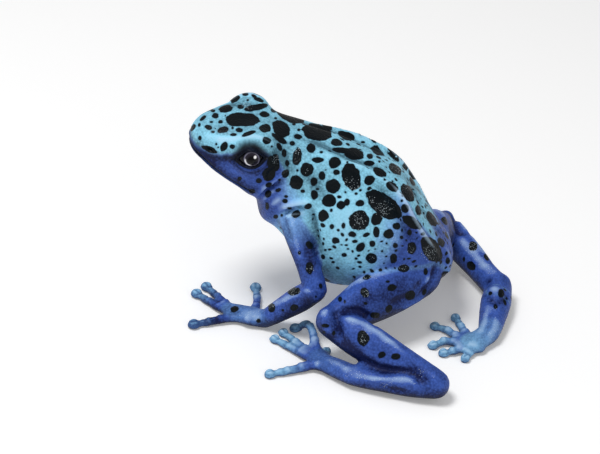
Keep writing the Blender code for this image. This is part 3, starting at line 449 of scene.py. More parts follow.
def tube_rings(points, half_w, half_h, n=20, per=6, ends=(True, True)):
    """Rings of a limb with round ends: half widths (level) and half heights at each point."""
    tab = spline([[*p, w, h] for p, w, h in zip(points, half_w, half_h)], per)
    cen, wid, hei = list(tab[:, :3]), list(tab[:, 3]), list(tab[:, 4])
    tan = np.gradient(tab[:, :3], axis=0)
    tan = list(tan / lengths(tan)[:, None])
    steps = [math.radians(a) for a in (66, 42, 18)]
    for at, sign, on in ((0, -1, ends[0]), (-1, 1, ends[1])):
        c, w, h, t = cen[at], wid[at], hei[at], tan[at]
        for a in steps if on else ():
            k = math.sin(a)
            item = (c + sign * t * 0.5 * (w + h) * math.cos(a), w * k, h * k, t)
            for many, one in zip((cen, wid, hei, tan), item):
                many.insert(0, one) if sign < 0 else many.append(one)
    rings = []
    for c, w, h, t in zip(cen, wid, hei, tan):
        side = unit(np.cross((0, 0, 1.0), t))
        top = unit(np.cross(t, side))
        rings.append([c + side * w * math.cos(2 * math.pi * i / n)
                      + top * h * math.sin(2 * math.pi * i / n) for i in range(n)])
    return rings


def digit_rings(path, disc, thick=0.55):
    """Finger or toe that ends in a round flat disc."""
    pts = [np.asarray(p, float) for p in path]
    end, back = pts[-1], unit(pts[-1] - pts[-2])
    flat = unit([back[0], back[1], 0])
    stop = end - back * disc * 1.05
    line = spline([p for p in pts[:-1] if np.dot(stop - p, back) > 0.6] + [stop], 5)
    half = np.interp(np.linspace(0, 1, len(line)), (0, 0.3, 0.62, 0.72, 1),
                     (0.9, 0.66, 0.54, 0.62, 0.46)) * thick / 0.55
    rows = list(zip(line, half, half))
    for k, w in ((-0.86, 0.6), (-0.6, 0.86), (-0.3, 0.98), (0.0, 1.0), (0.3, 0.95), (0.6, 0.8),
                 (0.84, 0.55), (0.97, 0.25)):
        rows.append((end + flat * disc * k, disc * w,
                     thick * (1.04 - 0.45 * max(0.0, abs(k) - 0.3))))
    return tube_rings([r[0] for r in rows], [r[1] for r in rows], [r[2] for r in rows], n=16, per=1,
                      ends=(True, False))


def limb_path(side, part):
    """Middle points, half widths and half heights; the right shank is leaner between its ends, as drawn."""
    a, b, wid, hei = LIMBS[part]
    a, b = (np.array(JOINTS[side][k]) for k in (a, b))
    lean = np.array([1, 0.88, 0.88, 1]) if (side, part) == ("right", "shank") else np.ones(4)
    return [a + (b - a) * t for t in STATIONS], wid * lean, hei * lean


def fused_skin():
    """One closed surface over trunk, head, limbs and digits, in millimetres."""
    bm = bmesh.new()
    loft(bm, body_rings())
    for side in SIDES:
        for part in LIMBS:
            loft(bm, tube_rings(*limb_path(side, part)))
        for path in FINGERS[side]:
            loft(bm, digit_rings(path, FINGER_DISC))
        for i, path in enumerate(TOES[side]):
            loft(bm, digit_rings(path, TOE_DISC * (0.9 if i == 0 else 1.0)))
    bmesh.ops.recalc_face_normals(bm, faces=bm.faces)
    rough = bpy.data.meshes.new("skin_rough")
    bm.to_mesh(rough)
    bm.free()
    ob = bpy.data.objects.new("skin_rough", rough)
    bpy.context.scene.collection.objects.link(ob)
    mod = ob.modifiers.new("fuse", "REMESH")
    mod.mode, mod.voxel_size, mod.adaptivity = "VOXEL", VOXEL, 0.0
    deps = bpy.context.evaluated_depsgraph_get()
    bm = bmesh.new()
    bm.from_mesh(ob.evaluated_get(deps).to_mesh())
    bpy.data.objects.remove(ob, do_unlink=True)
    return bm


class Skin:
    """The skin's points as arrays, with the moves that shape them."""

    def __init__(self, bm):
        self.bm = bm
        self.read()

    def read(self):
        self.bm.verts.ensure_lookup_table()
        self.bm.verts.index_update()
        self.bm.normal_update()
        self.co = np.array([v.co for v in self.bm.verts])
        self.no = np.array([v.normal for v in self.bm.verts])
        self.edges = np.array([[v.index for v in e.verts] for e in self.bm.edges])
        self.tree = BVHTree.FromBMesh(self.bm)
        # painted shade (+) and painted highlight (-), laid by the lines, bumps and digits
        self.tone = np.zeros(len(self.co))

    def write(self):
        for v, p in zip(self.bm.verts, self.co):
            v.co = p
        self.bm.normal_update()
        self.no = np.array([v.normal for v in self.bm.verts])

    def relax(self, rounds, weight=1.0, keep=0.53):
        """Even out the points and keep the volume; weight is a share for each point."""
        a, b = self.edges.T
        n = len(self.co)
        count = np.bincount(a, minlength=n) + np.bincount(b, minlength=n)
        for step in range(rounds * (2 if keep else 1)):
            total = np.stack([np.bincount(a, self.co[b, k], n) + np.bincount(b, self.co[a, k], n)
                              for k in range(3)], axis=1)
            move = total / count[:, None] - self.co
            rate = 0.5 if step % 2 == 0 or not keep else -keep
            self.co = self.co + move * (rate * np.asarray(weight).reshape(-1, 1))

    def refine(self, near):
        """Split the faces whose points are all near, so that small forms have room."""
        pick = near(self.co)
        edges = [e for e in self.bm.edges if pick[e.verts[0].index] and pick[e.verts[1].index]]
        bmesh.ops.subdivide_edges(self.bm, edges=edges, cuts=1, use_grid_fill=True)
        self.read()

    def move(self, amount):
        """Move the points along their normals by amount."""
        self.co = self.co + self.no * amount[:, None]

    def hit(self, u, v):
        """The skin's point and normal behind pixel (u, v) of the frame."""
        d = -BACK + RIGHT * (u - FRAME[0] / 2) / FOCAL - UP * (v - FRAME[1] / 2) / FOCAL
        loc, nor = self.tree.ray_cast(Vector(CAMERA), Vector(unit(d)))[:2]
        return (None, None) if loc is None else (np.array(loc), np.array(nor))


def pixels(p):
    """Frame places of points p."""
    d = np.atleast_2d(p) - CAMERA
    z = -(d @ BACK)
    return np.stack([FRAME[0] / 2 + FOCAL * (d @ RIGHT) / z, FRAME[1] / 2 - FOCAL * (d @ UP) / z], axis=1)


def part_frame(part, side):
    """Origin and axes of a body part, made so that left and right mirror each other."""
    s = 1.0 if side == "left" else -1.0
    if part in ("head", "trunk"):
        o, m = (EYE_LINE, M_HEAD) if part == "head" else (PELVIS, M_TRUNK)
        return o, m * np.array([1.0, s, 1.0]), 1.0
    j = {k: np.array(v) for k, v in JOINTS[side].items()}
    chain = {"upper_arm": ("shoulder", "elbow", "wrist"), "forearm": ("elbow", "wrist", "shoulder"),
             "hand": ("wrist", "palm", "elbow"), "thigh": ("hip", "knee", "heel"),
             "shank": ("knee", "heel", "hip"), "tarsus": ("heel", "instep", "knee"),
             "foot": ("instep", "ball", "heel")}[part]
    a, b, c = (j[k] for k in chain)
    x = unit(b - a)
    z = unit(np.cross(x, c - a)) * s
    return a, np.column_stack([x, np.cross(z, x) * s, z]), np.linalg.norm(b - a)


def mirrored(skin, part, points):
    """The same places on the frog's other side."""
    origin, axes, length = part_frame(part, "left")
    other_origin, other_axes, other_length = part_frame(part, "right")
    out = []
    for p in points:
        q = axes.T @ (p - origin)
        q[0] *= other_length / length
        loc, nor = skin.tree.find_nearest(Vector(other_origin + other_axes @ q))[:2]
        out.append((np.array(loc), np.array(nor)))
    return out


def along(skin, hits, width, height):
    """Raise the skin (or sink it) along a line through the points hit."""
    path = spline([h[0] for h in hits], 12) if len(hits) > 1 else np.array([hits[0][0]])
    nor = spline([h[1] for h in hits], 12) if len(hits) > 1 else np.array([hits[0][1]])
    low, high = path.min(0) - 3 * width, path.max(0) + 3 * width
    pick = np.where(((skin.co > low) & (skin.co < high)).all(1))[0]
    d2 = ((skin.co[pick, None, :] - path[None]) ** 2).sum(2)
    best = d2.argmin(1)
    d2 = d2[np.arange(len(pick)), best]
    face = (skin.no[pick] * nor[best]).sum(1)
    s = best / max(1, len(path) - 1)
    ends = np.minimum(1, np.minimum(s, 1 - s) / 0.18) if len(path) > 1 else 1.0
    amount = np.zeros(len(skin.co))
    amount[pick] = height * np.exp(-d2 / width ** 2) * np.clip(face * 2, 0, 1) * (0.15 + 0.85 * ends)
    return amount


def eye_frame(s):
    """Axes of an eye: out of the socket, back along the slit, up (s = 1 left, -1 right)."""
    fwd, lift, turn = (math.radians(a) for a in EYE_CANT)
    out = unit([math.sin(fwd), s * math.cos(fwd), math.tan(lift)])
    upv = unit(np.array([0, 0, 1.0]) - out * out[2])
    back, c, k = np.cross(upv, out), math.cos(turn), s * math.sin(turn)
    return M_HEAD @ np.column_stack([out, c * back + k * upv, c * upv - k * back])


def eye_centre(s):
    return head_point(EYE_AT[0], s * EYE_SPREAD, EYE_AT[1])


def eye_place(co, s):
    """Points in an eye's own axes, and how far out they lie from the lid opening (1 = its edge)."""
    e = (co - eye_centre(s)) @ eye_frame(s)
    e[:, 1] *= s
    a, high, low = EYE_SLIT
    y, z = e[:, 1] - EYE_SLIT_AT[0], e[:, 2] - EYE_SLIT_AT[1]
    return e, (y / a) ** 2 + np.sqrt(z * z + 0.01) / np.where(z > 0, high, low)


def shape_lids(skin):
    """Open the lids round each eyeball: a thin rolled rim, fine creases below it, a hollow under the brow."""
    for s in (1, -1):
        e, q = eye_place(skin.co, s)
        r = lengths(e)
        on = (e[:, 0] > 0.2) & (r < MOUND_RADIUS + 1.9)
        inner, rim = EYE_RADIUS - 0.5, EYE_RADIUS + 0.30
        goal = inner + (rim - inner) * smooth(0.90, 1.04, q)
        goal = goal + (r - goal) * smooth(1.02, 1.75, q)
        below = smooth(0.2, -0.3, e[:, 2])
        for share, forms in zip((1.0, below, 1 - below), LID_FORMS):
            for at, width, height in forms:
                goal += share * height * bell(q, at, width)
        gain = np.where(on & (q < 2.6), goal / np.maximum(r, 1e-6), 1.0)
        c = eye_centre(s)
        skin.co = c + (skin.co - c) * gain[:, None]


def mouth_place(h):
    """Share of the way to the mouth's corner, and height above the line of the lips."""
    f = np.arctan2(h[:, 1], h[:, 0] - 1.0) / math.radians(MOUTH_REACH)
    line = spline(MOUTH_LINE, 6)
    return f, h[:, 2] - np.interp(np.abs(f), line[:, 0], line[:, 1]) - 0.18 * bell(f, 0, 0.10)


def shape_mouth(skin):
    h = head_place(skin.co)
    f, dz = mouth_place(h)
    on = (h[:, 0] > MOUTH_BACK) * smooth(1.04, 0.92, np.abs(f))
    skin.move(on * (0.12 * bell(np.abs(dz), 0.42, 0.22) - 0.46 * bell(dz, 0, 0.15)))


def shape_nostrils_and_ears(skin):
    for s in (1, -1):
        x, y, z = NOSTRIL
        way = Vector(M_HEAD @ np.array([0.25, s, 0.25]))
        c, n = (np.array(v) for v in skin.tree.ray_cast(Vector(head_point(x, s * (y - 1.5), z)), way)[:2])
        long = M_HEAD @ np.array([-0.95, s * 0.3, -0.05])
        long = unit(long - n * (long @ n))
        d = skin.co - c
        q = np.sqrt((d @ long / NOSTRIL_SLIT[0]) ** 2 + (d @ np.cross(n, long) / NOSTRIL_SLIT[1]) ** 2)
        skin.move((lengths(d) < 1.6) * (0.07 * bell(q, 1.9, 0.8) - 0.34 * smooth(1.5, 0.2, q)))
        x, y, z = EAR
        c, n = (np.array(v) for v in skin.tree.ray_cast(Vector(head_point(x, s * 2.0, z)),
                                                        Vector(M_HEAD @ np.array([0, s, 0])))[:2])
        d = skin.co - c
        flat = lengths(d - (d @ n)[:, None] * n)
        ring = 0.05 * bell(flat, EAR_RADIUS + 0.36, 0.2) - 0.09 * bell(flat, EAR_RADIUS, 0.16)
        skin.move((lengths(d) < 2.2) * (ring - 0.06 * smooth(EAR_RADIUS, 0.6, flat)))


def shape_lines(skin):
    """Lay the painted shade and highlight of each line and bump first, while the skin still lies on it, and then
    raise or sink it.
    """
    rows = [(part, line, width, height, ((1.15, tone),)) for part, line, width, height, tone in LINES]
    # each bump gets painted shade in a ring round its foot and painted highlight on its top
    for part, place, radius, height in KNOBS:
        strength = min(1.0, height / 0.5)
        rows.append((part, [place], radius, height, ((1.3, 0.45 * strength), (0.7, -0.90 * strength))))
    for part, line, width, height, painted_shadings in rows:
        hits = [h for h in (skin.hit(*p) for p in line) if h[0] is not None]
        if len(hits) < min(2, len(line)):
            continue
        for way in [hits] + ([mirrored(skin, part, [h[0] for h in hits])] if part else []):
            for wider, tone in painted_shadings:
                skin.tone += along(skin, way, width * wider, tone)
            skin.move(along(skin, way, width, height))


def near_head(co):
    h = head_place(co)
    return (h[:, 0] > -4.6) & (np.abs(h[:, 1]) < 8.5) & (h[:, 2] > -6.5)


def near_face_parts(co):
    """Points near the lids, lips and nostrils."""
    h = head_place(co)
    f, dz = mouth_place(h)
    near = (np.abs(dz) < 0.36) & (np.abs(f) < 1.05) & (h[:, 0] > MOUTH_BACK) & (np.abs(h[:, 2] + 4) < 2.5)
    for s in (1, -1):
        e, q = eye_place(co, s)
        near |= (e[:, 0] > 0) & (q > 0.82) & (q < 1.50) & (lengths(e) < 3.7)
        near |= lengths(h - np.array([5.5, s * 3.55, -1.7])) < 1.25
    return near


def near_ridge(skin, co):
    """Points near the sharp part of the ridges, on both sides."""
    hits = [h[0] for h in (skin.hit(*p) for p in RIDGE) if h[0] is not None]
    other = [h[0] for h in mirrored(skin, "trunk", hits)]
    return np.minimum(digit_place(co, hits)[0], digit_place(co, other)[0]) < 0.50


def segment(co, a, b):
    """Distance of points from the line a-b, and the share of the way along it."""
    a, b = np.asarray(a, float), np.asarray(b, float)
    t = np.clip(((co - a) @ (b - a)) / ((b - a) @ (b - a)), 0, 1)
    return lengths(co - (a + t[:, None] * (b - a))), t


def digit_place(co, path):
    """Distance of points from a digit's path, and the share of the way along it."""
    pts = np.array(path)
    steps = lengths(np.diff(pts, axis=0))
    near, far, run = np.full(len(co), 99.0), np.zeros(len(co)), 0.0
    for a, b, step in zip(pts[:-1], pts[1:], steps):
        d, t = segment(co, a, b)
        far = np.where(d < near, (run + t * step) / steps.sum(), far)
        near = np.minimum(near, d)
        run += step
    return near, far


def near_digits(co):
    """Points of the outer halves of fingers and toes."""
    near = np.zeros(len(co), bool)
    for side in SIDES:
        for path in FINGERS[side] + TOES[side]:
            d, far = digit_place(co, path)
            near |= (d < 1.3) & (far > 0.55)
    return near


def shape_digits(skin):
    """Knuckles along each digit, and on each tip disc its pair of scutes with the groove between them."""
    for side in SIDES:
        for disc, path in [(FINGER_DISC, p) for p in FINGERS[side]] + [(TOE_DISC, p) for p in TOES[side]]:
            end, before = np.array(path[-1]), np.array(path[-2])
            ahead = unit((end - before) * (1, 1, 0))
            d = skin.co - end
            x, y = d @ ahead / disc, d @ np.cross((0, 0, 1), ahead) / disc
            top = (lengths(d) < 1.5 * disc) * smooth(0.0, 0.5, skin.no[:, 2])
            pad = bell(np.abs(y), 0.40, 0.28) * bell(x, -0.1, 0.5)
            groove = bell(y, 0, 0.14) * smooth(0.9, 0.4, np.abs(x + 0.15))
            rim = bell(np.sqrt(x * x + y * y), 0.88, 0.13)
            skin.move(top * (0.13 * pad - 0.10 * groove - 0.05 * rim))
            # painted shade in the groove and along the rim of each disc, painted highlight on its two pads
            skin.tone += top * (0.40 * groove + 0.35 * rim - 0.45 * pad)
            near, far = digit_place(skin.co, path)
            whole = lengths(np.diff(np.array(path), axis=0)).sum()
            on = (near < 1.1) * smooth(-0.2, 0.4, skin.no[:, 2])
            for t in KNUCKLES:
                run = (far - t) * whole
                fold = bell(run, 0.6, 0.2)
                skin.move(on * (0.11 * bell(run, 0, 0.34) - 0.07 * fold))
                # painted shade in the fold just past each knuckle, painted highlight on the knuckle
                skin.tone += on * (0.30 * fold - 0.22 * bell(run, 0, 0.3))


def zones(co):
    """Shares for each point: limb, digit, how pale towards the tips, upper arm, and its place in the trunk."""
    loc = (co - PELVIS) @ M_TRUNK
    table = np.array(TRUNK_ROWS)
    wid = np.interp(loc[:, 0], table[:, 0], table[:, 3])
    hei = np.where(loc[:, 2] > 0, np.interp(loc[:, 0], table[:, 0], table[:, 4]),
                   np.interp(loc[:, 0], table[:, 0], table[:, 5]))
    rho = np.where(loc[:, 0] > 25, 0.9, np.sqrt((loc[:, 1] / wid) ** 2 + (loc[:, 2] / hei) ** 2))
    best, arm = np.full(len(co), 9.0), np.full(len(co), 9.0)
    digit, pale = np.zeros(len(co)), np.zeros(len(co))
    for side in SIDES:
        for part, (a, b, wid, hei) in LIMBS.items():
            d, t = segment(co, JOINTS[side][a], JOINTS[side][b])
            d = d / np.interp(t, STATIONS, (np.array(wid) + np.array(hei)) / 2)
            best = np.minimum(best, d)
            if part == "upper_arm":
                arm = np.minimum(arm, d + t * 2.5)
            if part in PALE[side]:
                near, far = PALE[side][part]
                pale = np.maximum(pale, smooth(1.7, 1.1, d) * (near + far * t))
        for part, paths in (("fingers", FINGERS[side]), ("toes", TOES[side])):
            for path in paths:
                d, far = digit_place(co, path)
                best = np.minimum(best, d / 0.6)
                far = np.where(d < 1.15, far, 0)
                digit = np.maximum(digit, far)
                low, high, most = PALE[side][part]
                pale = np.maximum(pale, most * smooth(low, high, far))
    return smooth(-0.20, 0.08, rho - best), digit, pale, arm, loc


def wave(co, size, seed):
    """Soft even noise from -1 to 1, with swells of about that size in millimetres."""
    rng = np.random.default_rng(seed)
    out = np.zeros(len(co))
    for _ in range(7):
        k = unit(rng.normal(size=3)) * 2 * math.pi / size * rng.uniform(0.7, 1.35)
        out += np.sin(co @ k + rng.uniform(0, 6.28))
    return out / 3.7


def seen_faces(skin, centres, normals):
    """Faces that the camera sees."""
    to = CAMERA - centres
    to /= lengths(to)[:, None]
    seen = (normals * to).sum(1) > 0.12
    for i in np.where(seen)[0]:
        o = centres[i] + normals[i] * 0.05
        if skin.tree.ray_cast(Vector(o), Vector(to[i]), 60.0)[0] is not None:
            seen[i] = False
    return seen


class Markings:
    """Black blots laid on the skin. Each face keeps the two nearest blots' own coordinates."""

    def __init__(self, co, loops, totals, centres, normals):
        self.co, self.loops, self.totals = co, loops, totals
        self.centres, self.normals = centres, normals
        n = len(centres)
        self.best = np.full((2, n), 9.0)
        self.owner = np.full((2, n), -1)
        self.room = np.full(n, 9.0)
        self.blots = []

    def local(self, k, points):
        """Points in the unit disc of blot k; where the camera saw it well, the disc lies in the frame."""
        p, e1, e2, n, m, size, seen = self.blots[k]
        d = points - p
        t = np.stack([d @ e1, d @ e2], axis=1)
        t = t * (lengths(d) / np.maximum(lengths(t), 1e-6))[:, None] @ m.T
        if seen:
            at, turn, share = seen
            t += share * ((pixels(points) - at) @ turn.T - t)
        return t

    def add(self, p, n, m, seen=None):
        """m turns tangent-plane millimetres into the blot's unit disc; seen does so with frame places."""
        axes = 1 / np.linalg.svd(m)[1]
        size = float(math.sqrt(axes[0] * axes[1]))
        self.blots.append((p, *self.basis(n), n, m, size, seen))
        k = len(self.blots) - 1
        reach = axes.max() * 1.25 + 0.8
        d2 = ((self.centres - p) ** 2).sum(1)
        pick = np.where((d2 < reach ** 2) & (self.normals @ n > 0.05))[0]
        d = (lengths(self.local(k, self.centres[pick])) - 1) * size
        first = d < self.best[0, pick]
        second = ~first & (d < self.best[1, pick])
        a, b = pick[first], pick[second]
        self.best[1, a], self.owner[1, a] = self.best[0, a], self.owner[0, a]
        self.best[0, a], self.owner[0, a] = d[first], k
        self.best[1, b], self.owner[1, b] = d[second], k
        wide = np.where(d2 < (reach + 3) ** 2)[0]
        self.room[wide] = np.minimum(self.room[wide], np.sqrt(d2[wide]) - size)

    def basis(self, n):
        e1 = unit(np.cross(n, (0.3, 0.2, 1.0)))
        return e1, np.cross(n, e1)

    def from_frame(self, skin, u, v, a, b, tilt=0):
        p, n = skin.hit(u, v)
        if p is None:
            return
        around = ((skin.co - p) ** 2).sum(1) < (0.06 * math.sqrt(a * b) + 0.5) ** 2
        n = unit(n + skin.no[around].sum(0))
        at = pixels(p)[0]
        j = np.column_stack([(pixels(p + e * 0.02)[0] - at) / 0.02 for e in self.basis(n)])
        t = math.radians(tilt)
        turn = np.array([[math.cos(t) / a, math.sin(t) / a], [-math.sin(t) / b, math.cos(t) / b]])
        x, s, y = np.linalg.svd(turn @ j)
        most = 2.0 * math.sqrt(a * b) * np.linalg.norm(p - CAMERA) / FOCAL
        m = x @ np.diag(np.maximum(s, 1 / most)) @ y
        self.add(p, n, m, (at, turn, float(smooth(0.25, 0.50, n @ unit(CAMERA - p)))))

    def mirror_last(self, skin):
        """Lay the last blot on the other side of the head too, if it lies on the cheek."""
        p, e1, e2, n, m = self.blots[-1][:5]
        h = head_place(p)
        if h[0] < MOUTH_BACK or h[1] < 1.5 or h[2] > np.interp(h[0], *CHEEK_TOP):
            return
        flip = M_HEAD @ np.diag([1, -1, 1]) @ M_HEAD.T
        at, normal = (np.array(v) for v in skin.tree.find_nearest(Vector(EYE_LINE + flip @ (p - EYE_LINE)))[:2])
        f1, f2 = self.basis(normal)
        _, size, axes = np.linalg.svd(m)
        size = size * (1.6 if h[0] > 4.6 else 1.0)         # a smaller blot over the far nostril
        ways = [flip @ (a[0] * e1 + a[1] * e2) for a in axes]
        self.add(at, normal, np.diag(size) @ np.array([[w @ f1, w @ f2] for w in ways]))

    def scatter(self, rng, sizes, tries, gap, allowed):
        """Throw blots on the allowed faces, large ones first, where there is room."""
        pool = np.where(allowed)[0]
        for r, count in zip(sizes, tries):
            for f in rng.choice(pool, count):
                radius = r * rng.uniform(0.85, 1.15)
                if self.room[f] < radius + gap:
                    continue
                turn, longer = rng.uniform(0, math.pi), rng.uniform(1.0, 1.32)
                c, s = math.cos(turn), math.sin(turn)
                m = np.diag([1 / (radius * longer), longer / radius]) @ np.array([[c, s], [-s, c]])
                self.add(self.centres[f], self.normals[f], m)

    def corners(self, rank):
        """For each face corner: its place in the unit disc of its face's blot, and the blot's size."""
        out = np.full((len(self.loops), 3), (3.0, 0.0, 0.5))
        owner = np.repeat(self.owner[rank], self.totals)
        order = np.argsort(owner, kind="stable")
        bounds = np.searchsorted(owner[order], np.arange(len(self.blots) + 1))
        for k in range(len(self.blots)):
            at = order[bounds[k]:bounds[k + 1]]
            if len(at):
                out[at, :2] = self.local(k, self.co[self.loops[at]])
                out[at, 2] = self.blots[k][5]
        return out


def to_frame(co):
    return (co - SHIFT) * MM


def linear(code):
    """sRGB hex to linear rgb."""
    c = np.array([int(code[i:i + 2], 16) for i in (1, 3, 5)]) / 255
    return tuple(np.where(c <= 0.04045, c / 12.92, ((c + 0.055) / 1.055) ** 2.4)) + (1.0,)


def new_material(name):
    mat = bpy.data.materials.new(name)
    mat.use_nodes = True
    return mat, mat.node_tree, mat.node_tree.nodes["Principled BSDF"]


def put(tree, kind, inputs=None, **settings):
    """Add one node with its settings. Each input takes a number, a colour, a socket, or a node's first output."""
    node = tree.nodes.new("ShaderNode" + kind)
    for key, value in settings.items():
        setattr(node, key, value)
    for name, value in (inputs or {}).items():
        if isinstance(value, bpy.types.Node):
            value = value.outputs[0]
        if isinstance(value, bpy.types.NodeSocket):
            tree.links.new(value, node.inputs[name])
        else:
            node.inputs[name].default_value = value
    return node


SKIN_LIGHT, SKIN_LIGHT_SHADED = "#93d9f5", "#4a7385"     # back and fore flank: lit, and its copy in painted shade (a grey teal)
SKIN_MID, SKIN_MID_SHADED = "#7fb0ea", "#3f5f94"      # between the light and the royal fields: lit, and its copy in painted shade
SKIN_ROYAL, SKIN_ROYAL_SHADED = "#3f5fb4", "#101a48"     # limbs, jaw, throat and rump: lit, and its copy in painted shade
# The second colour here is near-black painted shadow round the eyes, at the lips, along the canthus and under the
# limbs; INK is the blots' own black
SKIN_PALE, SKIN_SHADOW, INK = "#86bde0", "#05080f", "#020a10"
SKIN_GLEAM, SPECK_HIGHLIGHT = "#c4e2fb", "#d9e8f0"         # painted highlight on the crests of folds and ridges; pale dots on the tips of the granules, partly painted highlight
SWELL, FINE, GRANULE, TIP = 1.1 * MM, 0.35 * MM, 0.30 * MM, 0.19 * MM      # sizes of the skin's patterns
WOBBLE = 0.17                                    # how far a blot's edge strays, in millimetres
FACTOR, COLOUR_A, COLOUR_B, BLEND = 0, 6, 7, 2   # sockets of a colour mix: three inputs and its output


def frog_skin():
    """Moist amphibian skin: thin, granular, faintly glossy; pigment in soft fields with ink-black blots, under
    painted shade, painted shadow and painted highlights.
    """
    mat, tree, bsdf = new_material("moist_granular_frog_skin")
    place = put(tree, "TexCoord").outputs["Object"]
    field = {n: put(tree, "Attribute", attribute_name=n) for n in
             ("blue", "shade", "pale", "painted_shadow", "speck_highlight", "blot_a", "blot_b")}
    blue, shade, pale, painted_shadow, speck_highlight = (field[n].outputs["Fac"] for n in ("blue", "shade", "pale", "painted_shadow", "speck_highlight"))
    swell = put(tree, "TexNoise", {"Vector": place, "Scale": 1 / SWELL, "Detail": 2.0})
    fine = put(tree, "TexNoise", {"Vector": place, "Scale": 1 / FINE, "Detail": 3.0})
    grain = put(tree, "TexVoronoi", {"Vector": place, "Scale": 1 / GRANULE, "Smoothness": 0.6},
                feature="SMOOTH_F1")
    # distance to the nearer blot's edge in millimetres, from its own coordinates and its size
    edges, sizes = [], []
    for key in ("blot_a", "blot_b"):
        split = put(tree, "SeparateXYZ", {0: field[key].outputs["Vector"]})
        flat = put(tree, "CombineXYZ", {0: split.outputs[0], 1: split.outputs[1]})
        length = put(tree, "VectorMath", {0: flat}, operation="LENGTH").outputs["Value"]
        less = put(tree, "Math", {0: length, 1: 1.0}, operation="SUBTRACT")
        edges.append(put(tree, "Math", {0: less, 1: split.outputs[2]}, operation="MULTIPLY"))
        sizes.append(split.outputs[2])
    near = put(tree, "Math", {0: edges[0], 1: edges[1]}, operation="MINIMUM")
    wobble = put(tree, "MapRange", {"Value": swell, 1: 0.3, 2: 0.7, 3: -WOBBLE, 4: WOBBLE})
    share = put(tree, "MapRange", {"Value": sizes[0], 1: 0.2, 2: 1.8, 3: 0.45, 4: 1.2})
    wobble = put(tree, "Math", {0: wobble, 1: share}, operation="MULTIPLY")
    edge = put(tree, "Math", {0: near, 1: wobble}, operation="ADD")
    # the first mask is the black blots, the second painted shade: a narrow dark fringe just outside each blot
    ink, blot_shade = (
        put(tree, "MapRange", {"Value": edge, 1: a, 2: b, 3: c, 4: 0.0}, interpolation_type="SMOOTHSTEP")
        for a, b, c in ((-0.05, 0.05, 1.0), (0.0, 0.22, 0.22)))
    # how dark the skin is: the painted shade, a fine mottle, and painted shade in the pits between the granules
    mottle = put(tree, "MapRange", {"Value": fine, 1: 0.3, 2: 0.7, 3: -0.16, 4: 0.16})
    pit = put(tree, "MapRange", {"Value": grain, 1: 0.15, 2: 0.75, 3: -0.10, 4: 0.26})
    dark = put(tree, "Math", {0: shade, 1: mottle}, operation="ADD")
    dark = put(tree, "Math", {0: dark, 1: pit}, operation="ADD", use_clamp=True)
    to_mid = put(tree, "MapRange", {"Value": blue, 1: 0.0, 2: 0.5, 3: 0.0, 4: 1.0})
    to_royal = put(tree, "MapRange", {"Value": blue, 1: 0.45, 2: 1.0, 3: 0.0, 4: 1.0})
    # painted highlight: below zero the painted shade turns to the gleam colour on crests, and on the strongest
    # crests the gleam also lies over the blots
    crest_highlight = put(tree, "MapRange", {"Value": shade, 1: 0.0, 2: -0.45, 3: 0.0, 4: 0.42})
    glint = put(tree, "MapRange", {"Value": shade, 1: -0.35, 2: -1.0, 3: 0.0, 4: 0.36})
    # small pale dots on the tips of granules: pale tips, and painted highlight where the speck field marks lit
    # crests and the near side's patches
    cell = put(tree, "TexVoronoi", {"Vector": place, "Scale": 1 / TIP})
    dot = put(tree, "MapRange", {"Value": cell, 1: 0.16, 2: 0.34, 3: 1.0, 4: 0.0})
    pick = put(tree, "SeparateXYZ", {0: cell.outputs["Color"]})
    some = put(tree, "Math", {0: speck_highlight, 1: pick}, operation="SUBTRACT")
    some = put(tree, "MapRange", {"Value": some, 1: 0.0, 2: 0.40, 3: 0.0, 4: 0.62})
    tips_and_highlights = put(tree, "Math", {0: dot, 1: some}, operation="MULTIPLY")

    # the coats of colour, each laid on the one before: name, how far, from, to
    # light and lit are the lit colours, grey and dim their copies in painted shade; after the pale digits the skin
    # takes painted highlight, painted shade round the blots, painted shadow, the ink, more painted highlight and
    # the pale dots
    made = {}
    for name, factor, a, b in (
            ("light", to_mid, SKIN_LIGHT, SKIN_MID), ("lit", to_royal, "light", SKIN_ROYAL),
            ("grey", to_mid, SKIN_LIGHT_SHADED, SKIN_MID_SHADED), ("dim", to_royal, "grey", SKIN_ROYAL_SHADED),
            ("digits", dark, SKIN_PALE, SKIN_MID_SHADED), ("skin", dark, "lit", "dim"),
            ("skin", pale, "skin", "digits"), ("skin", crest_highlight, "skin", SKIN_GLEAM),
            ("skin", blot_shade, "skin", SKIN_ROYAL_SHADED), ("skin", painted_shadow, "skin", SKIN_SHADOW), ("skin", ink, "skin", INK),
            ("skin", glint, "skin", SKIN_GLEAM), ("skin", tips_and_highlights, "skin", SPECK_HIGHLIGHT)):
        a, b = (made[c] if c in made else linear(c) for c in (a, b))
        made[name] = put(tree, "Mix", {FACTOR: factor, COLOUR_A: a, COLOUR_B: b},
                         data_type="RGBA").outputs[BLEND]
    tree.links.new(made["skin"], bsdf.inputs["Base Color"])
    # granules of the skin: about 0.3 mm, twice the real ones, so that they still show at this size
    lump = put(tree, "Math", {0: grain, 1: fine}, operation="SUBTRACT")
    bump = put(tree, "Bump", {"Height": lump, "Strength": 0.8, "Distance": 0.07 * MM}).outputs["Normal"]
    rough = put(tree, "MapRange", {"Value": fine, 1: 0.3, 2: 0.7, 3: 0.42, 4: 0.58}).outputs[0]
    for socket, name in ((bump, "Normal"), (bump, "Coat Normal"), (rough, "Roughness")):
        tree.links.new(socket, bsdf.inputs[name])
    for name, value in (("IOR", 1.36), ("Specular IOR Level", 0.18), ("Coat Weight", 0.06),
                        ("Coat Roughness", 0.25)):
        bsdf.inputs[name].default_value = value
    return mat


# Colours of the eye: distance from the middle of the pupil in millimetres x 1.12, colour.
IRIS = [(0.0, "#060608"), (0.50, "#09080b"), (0.66, "#1b1920"), (0.98, "#2a2731"),
        (1.08, "#6f6e7e"), (1.15, "#55546a"), (1.24, "#0e0e15"), (1.6, "#07070c")]


